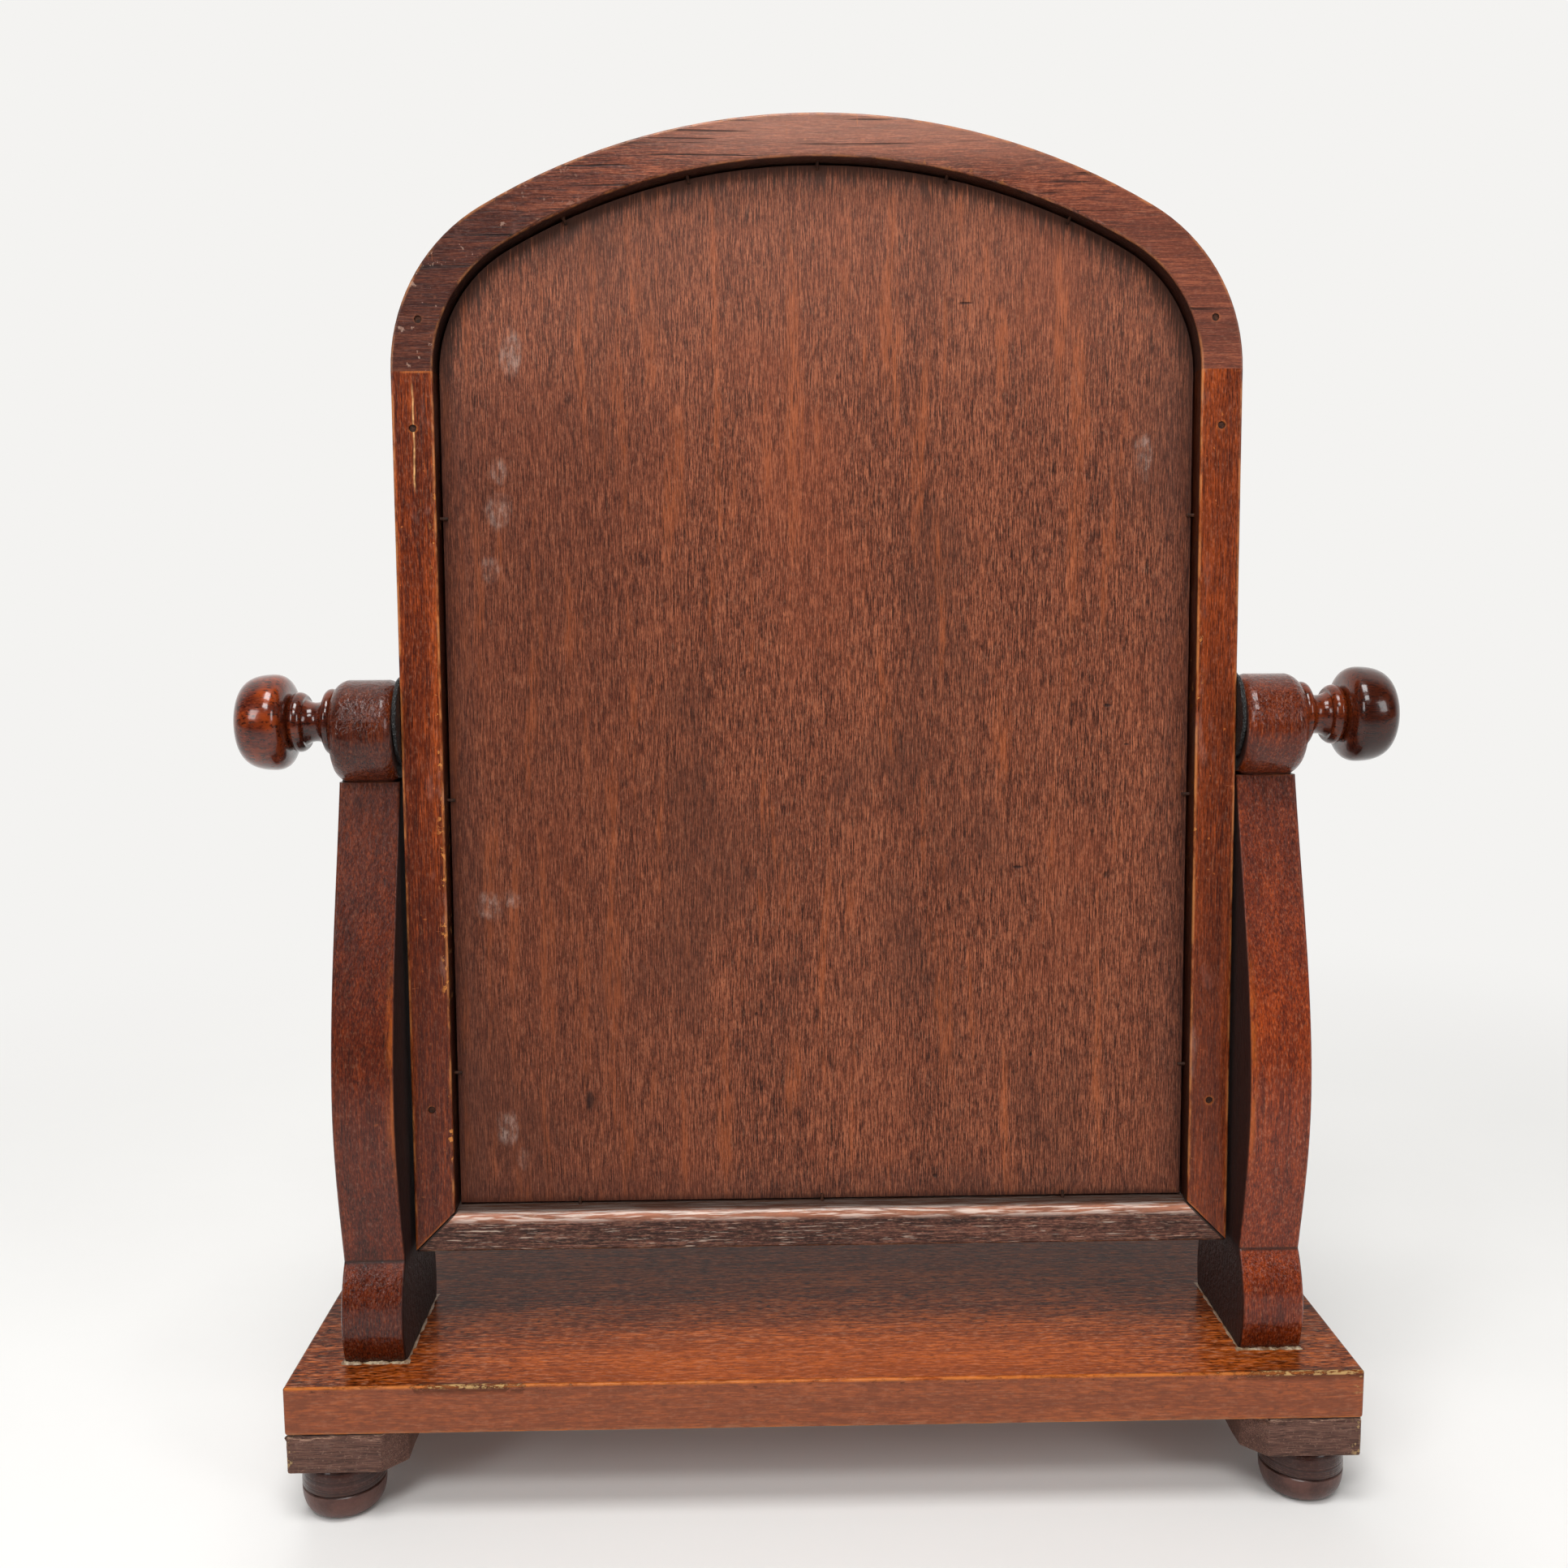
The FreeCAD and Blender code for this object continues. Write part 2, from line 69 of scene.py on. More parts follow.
CROWN_Z = FRAME_TOP - CROWN_RADIUS
CROWN_SLOPE = HAUNCH_X / (SPRING - CROWN_Z)
FOOT_GROOVE = 0.0115
KNOB_WAIST = 0.2145
CORNERS = (("right_back", 1, 1), ("left_back", -1, 1), ("right_front", 1, -1), ("left_front", -1, -1))
SIDES = (("right", 1), ("left", -1))


# Shader maths

class Value:
    """A shader socket that Python's operators work on."""

    def __init__(self, finish, socket):
        self.finish = finish
        self.socket = socket

    def math(self, operation, *others):
        return self.finish.node("ShaderNodeMath", {"operation": operation}, [self, *others])

    def __add__(self, other):
        return self.math("ADD", other)

    __radd__ = __add__

    def __mul__(self, other):
        return self.math("MULTIPLY", other)

    __rmul__ = __mul__

    def __sub__(self, other):
        return self.math("SUBTRACT", other)

    def __rsub__(self, other):
        return self.finish.node("ShaderNodeMath", {"operation": "SUBTRACT"}, [other, self])

    def __truediv__(self, other):
        return self.math("DIVIDE", other)

    def __pow__(self, other):
        return self.math("POWER", other)

    def __abs__(self):
        return self.math("ABSOLUTE")

    def __lt__(self, other):
        return self.math("LESS_THAN", other)

    def low(self, other):
        return self.math("MINIMUM", other)

    def high(self, other):
        return self.math("MAXIMUM", other)

    def step(self, start, end):
        """0 before start, 1 after end, and a smooth climb between them."""
        return self.finish.node("ShaderNodeMapRange", {"interpolation_type": "SMOOTHSTEP"},
                                {"Value": self, "From Min": start, "From Max": end})


class Nodes:
    """The node work in one node tree."""

    def __init__(self, tree):
        self.tree = tree

    def node(self, kind, settings=None, inputs=None, output=0):
        """Any node: its type, then its settings, then the values or links of its sockets."""
        made = self.tree.nodes.new(kind)
        for key, value in (settings or {}).items():
            if key == "stops":
                ramp = made.color_ramp
                while len(ramp.elements) < len(value):
                    ramp.elements.new(0.5)
                for element, (place, colour) in zip(ramp.elements, value):
                    element.position = place
                    element.color = colour
            else:
                setattr(made, key, value)
        given = inputs or {}
        pairs = given.items() if isinstance(given, dict) else enumerate(given)
        for key, value in pairs:
            socket = made.inputs[key]
            if isinstance(value, Value):
                self.tree.links.new(value.socket, socket)
            else:
                socket.default_value = value
        return Value(self, made.outputs[output])

    def parts(self, vector):
        """The three parts of a vector."""
        split = self.tree.nodes.new("ShaderNodeSeparateXYZ")
        self.tree.links.new(vector.socket, split.inputs[0])
        return [Value(self, socket) for socket in split.outputs]

    def rays(self, *kinds):
        """Outputs of Light Path: 1 for the kind of ray that is asked for, else 0."""
        path = self.tree.nodes.new("ShaderNodeLightPath")
        return [Value(self, path.outputs[kind]) for kind in kinds]


class Finish(Nodes):
    """A material with one Principled shader, and the node work that feeds it."""

    def __init__(self, name, **shader):
        self.material = bpy.data.materials.new(name)
        self.material.use_nodes = True
        super().__init__(self.material.node_tree)
        self.shader = self.tree.nodes["Principled BSDF"]
        for socket, value in shader.items():
            self.shader.inputs[socket.replace("_", " ").title().replace("Ior", "IOR")].default_value = value
        self.place = self.node("ShaderNodeTexCoord", output="Object")
        self.x, self.y, self.z = self.parts(self.place)

    def sway(self, reach, scale, shift=(0, 0, 0)):
        """Bends the place that later patterns read by slow noise, so that grain wanders."""
        slow = self.node("ShaderNodeTexNoise", {}, {"Vector": self.scaled(scale, shift), "Scale": 1.0, "Detail": 1.0},
                         output="Color")
        off = self.node("ShaderNodeVectorMath", {"operation": "SUBTRACT"}, [slow, (0.5, 0.5, 0.5)])
        off = self.node("ShaderNodeVectorMath", {"operation": "MULTIPLY"}, [off, (reach, reach, reach)])
        self.place = self.node("ShaderNodeVectorMath", {"operation": "ADD"}, [self.place, off])

    def scaled(self, scale, shift=(0, 0, 0), turn=(0, 0, 0)):
        """The place, stretched, moved and turned, for a pattern to read."""
        return self.node("ShaderNodeMapping", {}, {"Vector": self.place, "Scale": scale, "Location": shift,
                                                   "Rotation": turn})

    def noise(self, scale, shift=(0, 0, 0), detail=2.0, rough=0.5, bend=0.0, turn=(0, 0, 0)):
        """Noise with its own number of features per metre along each axis."""
        return self.node("ShaderNodeTexNoise", {}, {"Vector": self.scaled(scale, shift, turn), "Scale": 1.0,
                                                    "Detail": detail, "Roughness": rough, "Distortion": bend})

    def cells(self, scale, shift=(0, 0, 0), feature="F1"):
        """Cells packed side by side, with their own number per metre along each axis."""
        return self.node("ShaderNodeTexVoronoi", {"feature": feature},
                         {"Vector": self.scaled(scale, shift), "Scale": 1.0})

    def mix(self, share, first, second, blend="MIX"):
        """The first colour, covered by a share of the second."""
        made = self.tree.nodes.new("ShaderNodeMix")
        made.data_type = "RGBA"
        made.blend_type = blend
        for index, value in ((0, share), (6, first), (7, second)):
            if isinstance(value, Value):
                self.tree.links.new(value.socket, made.inputs[index])
            else:
                made.inputs[index].default_value = value
        return Value(self, made.outputs[2])

    def bump(self, height, distance):
        """A normal bent by a height, where 1 stands for a distance in metres."""
        return self.node("ShaderNodeBump", {}, {"Height": height, "Distance": distance, "Strength": 1.0})

    def feed(self, **links):
        """Links values to the shader's sockets and gives the finished material."""
        for key, value in links.items():
            self.tree.links.new(value.socket, self.shader.inputs[key.replace("_", " ").title()])
        return self.material


def tone(red, green, blue):
    """A colour written as it is seen, from 0 to 255, as the shader takes it."""
    def linear(channel):
        c = channel / 255
        return c / 12.92 if c <= 0.04045 else ((c + 0.055) / 1.055) ** 2.4
    return (linear(red), linear(green), linear(blue), 1.0)


# Wood

ALONG = {"x": 0, "y": 1, "z": 2}


def with_grain(axis, across, along):
    """Features per metre across the grain and along it, for grain that runs along an axis."""
    scale = [across] * 3
    scale[ALONG[axis]] = along
    return tuple(scale)


def grain_colour(f, axis, dark, middle, light, shift, pores=1.0, figure=1.0, hair=1.0, grade=1.0):
    """Mahogany colour: broad bands, lines, streaks, hairs and dark pores. Gives colour and pore depth."""
    aside = (shift[0] + 7, shift[1], shift[2])
    bands = f.noise(with_grain(axis, 38, 2.2), shift, 3, 0.55, 0.6)
    lines = f.noise(with_grain(axis, 420 * grade, 8), shift, 4, 0.6, 0.3)
    streaks = f.noise(with_grain(axis, 2600 * grade, 80), shift, 2, 0.55)
    hairs = f.noise(with_grain(axis, 4200 * grade, 160), aside, 2, 0.6)
    holes = f.noise(with_grain(axis, 3000 * grade, 100), aside, 2, 0.55)
    level = ((bands - 0.5) * (0.8 * figure) + (lines - 0.5) * (0.9 * figure) + (streaks - 0.5) * (1.7 * hair)
             + (hairs - 0.5) * (2.2 * hair) + 0.5)
    colour = f.node("ShaderNodeValToRGB", {"stops": [(0.14, dark), (0.5, middle), (0.86, light)]}, [level])
    pore = holes.step(0.55, 0.68) * pores
    colour = f.mix(pore * 0.7, colour, tuple(c * 0.4 for c in dark[:3]) + (1.0,))
    return colour, pore


# GLINT is a painted glint colour: pale flecks that stand for light glinting off the polish.
GLINT = tone(208, 158, 126)
SOOT = tone(14, 7, 5)


def add_glints_and_specks(f, axis, colour, glints_and_specks, shift, grade=1.0):
    """Painted glints as pale flecks of light, and dark flecks, a little drawn out along the grain."""
    fine = f.noise(with_grain(axis, 1700 * grade, 620 * grade), (shift[1], 4, shift[2]), 3, 0.6)
    # Painted highlight: pale glints mixed in where the fine noise is high.
    colour = f.mix(fine.step(0.5, 0.74) * glints_and_specks * 0.45, colour, GLINT)
    return f.mix(fine.step(0.5, 0.26) * glints_and_specks * 1.9, colour, SOOT), fine


def edge_mask(f, radius, start, end):
    """1 on the arrises, 0 on the flats, from a rounded normal set against the true one."""
    round_normal = f.node("ShaderNodeBevel", {"samples": 4}, {"Radius": radius})
    geometry = f.node("ShaderNodeNewGeometry", output="Normal")
    likeness = f.node("ShaderNodeVectorMath", {"operation": "DOT_PRODUCT"}, [round_normal, geometry], output="Value")
    return (1 - likeness).step(start, end)


def spot(f, x, z, radius, stretch=1.0):
    """1 at a point of the back, fading to 0 at a radius."""
    across = (f.x - x) / radius
    upward = (f.z - z) / (radius * stretch)
    return (across * across + upward * upward).step(1.0, 0.0)


def polished(name, axis, dark, middle, light, shift, pores=0.6, figure=1.0, hair=0.5, roughness=0.3, coat=0.5,
             bump=0.00012, wear=0.6, worn=tone(176, 96, 44), glints_and_specks=0.3, shine=0.2, grade=0.8, mark=None):
    """French-polished wood: grain under a rubbed film, worn back to paler wood on its arrises."""
    f = Finish(name, coat_roughness=0.1, coat_ior=1.4, specular_ior_level=shine)
    f.sway(0.004, (9, 9, 9), shift)
    colour, pore = grain_colour(f, axis, dark, middle, light, shift, pores, figure, hair, grade)
    rub = f.noise((60, 60, 60), shift, 5, 0.65)
    peel = f.noise((520, 520, 300), (2, shift[1], 8), 2, 0.5)
    colour, fine = add_glints_and_specks(f, axis, colour, glints_and_specks, shift, grade)
    edges = edge_mask(f, 0.0018, 0.02, 0.16) * (rub.step(0.4, 0.6)) * wear
    colour = f.mix(edges, colour, worn)
    flecks = f.noise((420, 420, 420), (3, shift[0], 5), 2, 0.5).step(0.69, 0.76) * rub.step(0.45, 0.6)
    colour = f.mix(flecks * 0.6 * wear, colour, worn)
    gloss = roughness + (rub - 0.5) * 0.2 + pore * 0.15 + edges * 0.25 + flecks * 0.2
    height = pore * -0.8 + (fine - 0.5) * 0.3 + (rub - 0.5) * 0.6 + (peel - 0.5) * 1.6
    film = coat - edges * coat * 0.8 - flecks * coat * 0.5
    if mark:
        colour, gloss, height, film = mark(f, colour, gloss, height, film)
    normal = f.bump(height, bump)
    return f.feed(base_color=colour, roughness=gloss, coat_weight=film, normal=normal)


def height_tones(f, colour, stops):
    """Shades a colour by height above the floor: each stop is a height and a tint."""
    low, high = stops[0][0], stops[-1][0]
    wander = f.noise((22, 22, 9), (1, 2, 3), 3, 0.6)
    level = (f.z + (wander - 0.5) * 0.05 - low) / (high - low)
    tint = f.node("ShaderNodeValToRGB", {"stops": [((z - low) / (high - low), c) for z, c in stops]}, [level])
    return f.mix(1.0, colour, tint, "MULTIPLY")


# Finishes

def upright_finish(name, glow, shift):
    """Uprights: dark at the roll and ankle, orange along the belly from rubbed wear and a painted highlight, rounded
    gloss on the scroll, painted shade on the inner faces, in the creases and at the foot.
    """
    def tint(red, green, blue):
        return (red * glow, green * glow, blue * glow, 1.0)

    def mark(f, colour, gloss, height, film):
        # Height tints, partly painted light: the paler, greyer band above the ankle is a painted reflection of the
        # floor, and the lighter belly a painted highlight.
        shade = [(0.056, tint(0.78, 0.66, 0.62)), (0.095, tint(1.12, 1.0, 0.94)), (0.15, tint(1.16, 1.14, 1.2)),
                 (0.205, tint(1.12, 0.96, 0.78)), (0.27, tint(0.84, 0.78, 0.76)), (0.34, tint(0.76, 0.72, 0.72))]
        colour = height_tones(f, colour, shade)
        # Painted shade: dark lines in the creases at the neck and at the ankle.
        line = abs(f.z - NECK_HEIGHT - 0.0006).step(0.0011, 0.0002).high(abs(f.z - ANKLE_HEIGHT).step(0.0011, 0.0002))
        colour = f.mix(line * 0.8, colour, tone(18, 9, 7))
        # Painted shade: the foot of the upright is darker where it meets the base.
        sole = (f.z - BASE_TOP).step(0.0035, 0.0)
        colour = f.mix(sole * 0.7, colour, tone(22, 11, 9))
        # Painted shade on the inner side faces, between the upright and the frame.
        inner = (abs(f.x) - UPRIGHT_INNER).step(0.0008, 0.0002)
        colour = f.mix(inner * 0.9, colour, tone(24, 10, 7))
        # Orange along the inner arris of the belly: partly rubbed wear, partly a painted highlight.
        belly = f.z.step(0.125, 0.16) * f.z.step(0.24, 0.19) * (abs(f.x) - UPRIGHT_INNER).step(0.0042, 0.0012)
        rubbed = f.noise((500, 500, 40), (6, 2, 4), 3, 0.6).step(0.36, 0.56)
        colour = f.mix(belly * rubbed * (1 - inner) * 0.4, colour, tone(186, 96, 30))
        turned = (f.z - NECK_HEIGHT).step(0.0, 0.004).high((f.z - ANKLE_HEIGHT).step(0.002, -0.006))
        dimples = f.noise((420, 420, 420), (5, 1, shift[0]), 3, 0.6)
        rough = gloss - turned * 0.17 + inner * 0.4
        return colour, rough, height + (dimples - 0.5) * turned * 5.5, (film + turned * 0.15) * (1 - inner)

    return polished(name, "z", tone(40, 12, 4), tone(102, 36, 9), tone(160, 70, 20), shift, pores=0.4, figure=0.7,
                    hair=0.35, roughness=0.34, coat=0.3, wear=0.7, glints_and_specks=0.36, shine=0.24, mark=mark)


def base_finish():
    """Base board: polished top with painted light towards the back and painted shadow under the mirror, duller sawn
    edges, chips of raw wood along the back arris.
    """
    def mark(f, colour, gloss, height, film):
        top = (f.z - BASE_TOP).step(-0.0012, -0.0004)
        # Painted light: the top is lit orange towards the back, away from the uprights; towards the front, under the
        # mirror, painted shadow and a painted dark reflection.
        glow = f.y.step(0.0, 0.072) * abs(f.x).step(0.215, 0.06)
        colour = f.mix(top * glow * 0.45, colour, tone(166, 74, 10))
        colour = f.mix(top * f.y.step(0.05, -0.03) * 0.6, colour, tone(46, 22, 13))
        colour = f.mix((1 - top) * 0.65, colour, tone(140, 85, 64))
        rim = abs(f.z - BASE_TOP).low(abs(f.z - BASE_BOTTOM)) + abs(f.y - BASE_BACK)
        bare = f.noise((70, 200, 200), (1, 3, 8), 4, 0.7).step(0.34, 0.56)
        colour = f.mix(rim.step(0.0013, 0.0005) * bare * 0.75, colour, tone(206, 122, 58))
        stain = f.noise((38, 200, 90), (6, 6, 2), 4, 0.65).step(0.60, 0.72) * (1 - top)
        colour = f.mix(stain * 0.4, colour, tone(70, 36, 26))
        nick = f.noise((260, 900, 700), (9, 4, 2), 4, 0.7)
        arris = (abs(f.y - BASE_BACK) + abs(f.z - BASE_TOP)).step(0.0017, 0.0009)
        run = abs(f.x - 0.142).step(0.030, 0.006).high((f.x + 0.158).step(0.012, -0.03))
        end = (abs(f.x + BASE_HALF) + abs(f.y - BASE_BACK)).step(0.0050, 0.0012)
        chip = (nick + run * 0.20).step(0.68, 0.72) * arris
        chip = chip.high(nick.step(0.52, 0.58) * end * f.z.step(0.046, 0.052))
        beside = (abs(f.y - BASE_BACK) + abs(f.z - BASE_TOP)).step(0.0044, 0.0018)
        grime = (nick + run * 0.3).step(0.58, 0.66) * beside
        colour = f.mix(grime * 0.55, colour, tone(52, 32, 24))
        colour = f.mix(chip * 0.85, colour, tone(184, 148, 98))
        under = (f.z - BASE_BOTTOM).step(0.0022, 0.0008) * f.noise((120, 120, 300), (2, 8, 3), 4, 0.7).step(0.45, 0.6)
        colour = f.mix(under * 0.6, colour, tone(150, 104, 78))
        return colour, gloss + chip * 0.3 + (1 - top) * 0.16, height - chip * 6, film * (1 - chip) * (top * 0.7 + 0.3)

    return polished("base_polish", "x", tone(38, 14, 4), tone(108, 45, 13), tone(172, 86, 28), (2, 5, 1), pores=0.8,
                    figure=0.9, hair=0.75, roughness=0.3, coat=0.1, bump=0.00006, wear=0.8, glints_and_specks=0.6, shine=0.05,
                    grade=0.46, mark=mark)


def rebate_distance(f, inset):
    """How far a point of the back lies inside the arched outline drawn in by an inset."""
    side = abs(f.x)
    across = (side - HAUNCH_X).high(0.0)
    upward = (f.z - SPRING).high(0.0)
    haunch = HAUNCH_RADIUS - inset - (across * across + upward * upward) ** 0.5
    rise = f.z - CROWN_Z
    crown = CROWN_RADIUS - inset - (side * side + rise * rise) ** 0.5
    under_crown = side < rise * CROWN_SLOPE
    arch = crown * under_crown + haunch * (1 - under_crown)
    return arch.low(f.z - FRAME_BOTTOM - inset)


def behind(f):
    """How far a point lies behind the pivot, square to the leaning frame."""
    return (f.y - PIVOT.y) * math.cos(LEAN) + (f.z - PIVOT.z) * math.sin(LEAN)


SCUFFS = ((0.129, 0.4030, 0.008, 1.3), (0.132, 0.3790, 0.006, 1.4), (0.128, 0.4180, 0.005, 1.6),
          (0.136, 0.2420, 0.009, 1.0), (0.127, 0.2445, 0.005, 1.2), (0.131, 0.1485, 0.007, 1.6),
          (0.125, 0.1350, 0.004, 1.8), (-0.131, 0.4235, 0.006, 2.2), (0.123, 0.4655, 0.007, 2.0))
DENTS = ((-0.118, 0.3225, 0.0022, 0.35), (-0.126, 0.3065, 0.0012, 0.5), (-0.0815, 0.2560, 0.0026, 0.3),
         (0.0965, 0.1595, 0.0022, 2.6), (-0.0875, 0.1770, 0.0010, 1.0), (-0.118, 0.2525, 0.0010, 1.6),
         (0.0270, 0.1955, 0.0009, 1.0), (-0.0475, 0.1255, 0.0012, 0.9), (-0.0590, 0.4835, 0.0034, 0.18))


def board_finish():
    """Back board: matt stained wood with old scuffs and dents, painted shade into the rebate, partly stain under the
    arch, a painted sheen near the top and painted shade on the +X side.
    """
    f = Finish("board_stain", coat_roughness=0.4, coat_ior=1.3, specular_ior_level=0.16)
    f.sway(0.003, (7, 7, 3), (4, 4, 4))
    dark, middle, light = tone(46, 19, 10), tone(105, 52, 33), tone(158, 92, 62)
    colour, pore = grain_colour(f, "z", dark, middle, light, (6, 1, 3), pores=0.6, figure=0.35, hair=0.9)
    colour = add_glints_and_specks(f, "z", colour, 0.36, (6, 1, 3))[0]
    patch = f.noise((16, 16, 8), (3, 3, 8), 4, 0.6)
    colour = f.mix(patch.step(0.50, 0.32) * 0.4, colour, tone(72, 42, 32))
    colour = f.mix(patch.step(0.52, 0.72) * 0.3, colour, tone(132, 64, 36))
    bundle = f.noise(with_grain("z", 150, 11), (1, 9, 4), 3, 0.6) + f.noise((11, 11, 5), (9, 2, 1), 2, 0.5) * 0.45
    hairs = f.noise(with_grain("z", 2200, 90), (2, 5, 8), 2, 0.5)
    colour = f.mix(bundle.step(0.80, 0.94) * hairs.step(0.36, 0.56) * 0.45, colour, tone(168, 88, 46))
    fibres = f.noise(with_grain("z", 900, 30), (2, 2, 7), 3, 0.6)
    inside = rebate_distance(f, BACK_WIDTH)
    arch = f.z.step(0.425, 0.475)
    tufts = f.noise(with_grain("z", 1500, 34), (7, 2, 2), 2, 0.5)
    # Under the arch, a ragged dark band along the rebate: partly stain pooled along the fibres, partly painted shade.
    # Then a narrow painted shadow line along every edge, and a greyer band of painted shade along the sides.
    ragged_stain_and_shade = inside + (fibres - 0.5) * 0.020 + (tufts - 0.5) * 0.026
    colour = f.mix(ragged_stain_and_shade.step(0.0095, 0.0020) * arch * 0.86, colour, tone(20, 11, 8))
    colour = f.mix(inside.step(0.0045, 0.0008) * 0.55, colour, tone(36, 19, 16))
    colour = f.mix((inside + (fibres - 0.5) * 0.03).step(0.02, 0.002) * (1 - arch) * 0.35, colour, tone(62, 38, 33))
    # Painted sheen: the upper part of the board is lighter.
    colour = f.mix(f.z.step(0.40, 0.53) * 0.14, colour, tone(158, 110, 92))
    # Painted shade: darker towards the +X side, below the arch.
    colour = f.mix(f.x.step(0.01, 0.11) * (1 - arch) * 0.34, colour, tone(70, 27, 11))
    dust = f.noise((420, 420, 200), (5, 2, 2), 4, 0.7)
    scuff = None
    for x, z, radius, stretch in SCUFFS:
        mark = spot(f, x, z, radius, stretch)
        scuff = mark if scuff is None else scuff.high(mark)
    smear = f.noise((130, 130, 60), (2, 7, 7), 4, 0.65)
    scuff = (scuff * 0.8 + (smear - 0.62) * 1.5).step(0.05, 0.9)
    colour = f.mix(scuff * (dust.step(0.42, 0.66) * 0.42 + 0.06), colour, tone(182, 158, 146))
    dent = None
    for x, z, radius, stretch in DENTS:
        mark = spot(f, x, z, radius, stretch)
        dent = mark if dent is None else dent.high(mark)
    colour = f.mix(dent * 0.75, colour, tone(26, 14, 12))
    gloss = 0.46 + (patch - 0.5) * 0.2 + pore * 0.16
    height = pore * -1.0 + (hairs - 0.5) * 1.0 - dent * 4.0
    return f.feed(base_color=colour, roughness=gloss, coat_weight=0.10 + patch * 0.1, normal=f.bump(height, 0.00014))


def frame_wear_and_shade(f, colour, gloss, height, film, scratches=1.0):
    """Scratches, dull rubbed patches, chipped arrises and open cracks that the back of the frame carries, and painted
    shade on the rebate wall.
    """
    scratch = f.noise((900, 900, 70), (3, 6, 9), 2, 0.5, 0.0, (0, 0.6, 0)).step(0.71, 0.75)
    scratch = scratch.high(f.noise((90, 900, 800), (1, 6, 2), 2, 0.5, 0.0, (0, 0.35, 0)).step(0.73, 0.77))
    where = f.noise((24, 24, 12), (8, 1, 6), 3, 0.6).step(0.47, 0.66)
    scratch = scratch * where * scratches
    colour = f.mix(scratch * 0.8, colour, tone(196, 116, 66))
    bruise = f.noise((110, 110, 60), (4, 4, 1), 3, 0.6).step(0.62, 0.72)
    colour = f.mix(bruise * 0.24 * scratches, colour, tone(128, 84, 72))
    inner = rebate_distance(f, BACK_WIDTH)
    chips = f.noise((330, 330, 260), (7, 3, 5), 3, 0.6) + f.noise((18, 18, 16), (1, 5, 9), 2, 0.5) * 0.4
    low = f.z.step(0.31, 0.25) * f.z.step(0.12, 0.15)
    chip = (chips + low * 0.05).step(0.88, 0.91) * inner.step(-0.0036, -0.0006) * scratches
    colour = f.mix(chip * 0.8, colour, tone(206, 132, 66))
    outer = rebate_distance(f, 0.0)
    rubbed = f.noise((160, 160, 60), (2, 8, 4), 4, 0.7)
    depth = behind(f)
    arris = outer.step(0.0014, 0.0005).high(abs(inner).step(0.0011, 0.0004)) * depth.step(0.0088, 0.0100)
    colour = f.mix(arris * rubbed.step(0.42, 0.60) * (0.25 + 0.35 * scratches), colour, tone(200, 128, 72))
    haze = inner.step(-0.0066, -0.0010) * f.noise((70, 70, 22), (5, 1, 7), 4, 0.65).step(0.54, 0.68) * scratches
    colour = f.mix(haze * 0.32, colour, tone(184, 140, 124))
    mitre = abs(FRAME_HALF - abs(f.x) - f.z + FRAME_BOTTOM).step(0.0011, 0.0005) * depth.step(0.006, 0.0095)
    colour = f.mix(mitre * 0.9, colour, tone(12, 6, 4))
    # Painted shade on the inner wall of the rebate.
    rebate_wall_shade = inner.step(-0.0015, 0.0003) * depth.step(0.0106, 0.0096)
    colour = f.mix(rebate_wall_shade * 0.86, colour, tone(14, 7, 5))
    rough = gloss + scratch * 0.2 + bruise * 0.12 + chip * 0.3
    return colour, rough, height - scratch * 1.4 - chip * 3, film * (1 - scratch * 0.8) * (1 - chip)


def arch_finish():
    """Arch rail: one board with its grain running across, dark at one end, a painted sheen on its crown, with fine
    drying cracks.
    """
    def mark(f, colour, gloss, height, film):
        colour = f.mix(f.x.step(0.05, 0.155) * 0.62, colour, tone(46, 20, 15))
        colour = f.mix(f.x.step(-0.03, -0.14) * 0.35, colour, tone(120, 70, 56))
        # Painted sheen: the top of the arch is lighter, as if catching the light from above.
        crown = (f.z - FRAME_TOP).step(-0.028, -0.004) * f.x.step(0.10, 0.02)
        colour = f.mix(crown * 0.45, colour, tone(178, 130, 112))
        crack = f.noise((9, 900, 640), (2, 4, 6), 2, 0.5).step(0.64, 0.68)
        crack = crack * f.noise((14, 14, 40), (3, 8, 1), 2, 0.5).step(0.44, 0.56)
        colour = f.mix(crack * 0.8, colour, tone(20, 10, 8))
        dusty = f.noise((300, 900, 260), (4, 9, 3), 3, 0.6).step(0.63, 0.69) * f.x.step(0.07, 0.14)
        colour = f.mix(dusty * 0.5, colour, tone(178, 146, 128))
        return frame_wear_and_shade(f, colour, gloss, height - crack * 3, film, 0.3)

    return polished("arch_polish", "x", tone(42, 17, 9), tone(98, 45, 29), tone(152, 84, 56), (1, 1, 9), pores=0.8,
                    figure=0.9, hair=0.6, roughness=0.36, coat=0.35, wear=0.65, worn=tone(178, 104, 60), glints_and_specks=0.32,
                    grade=1.0, mark=mark)


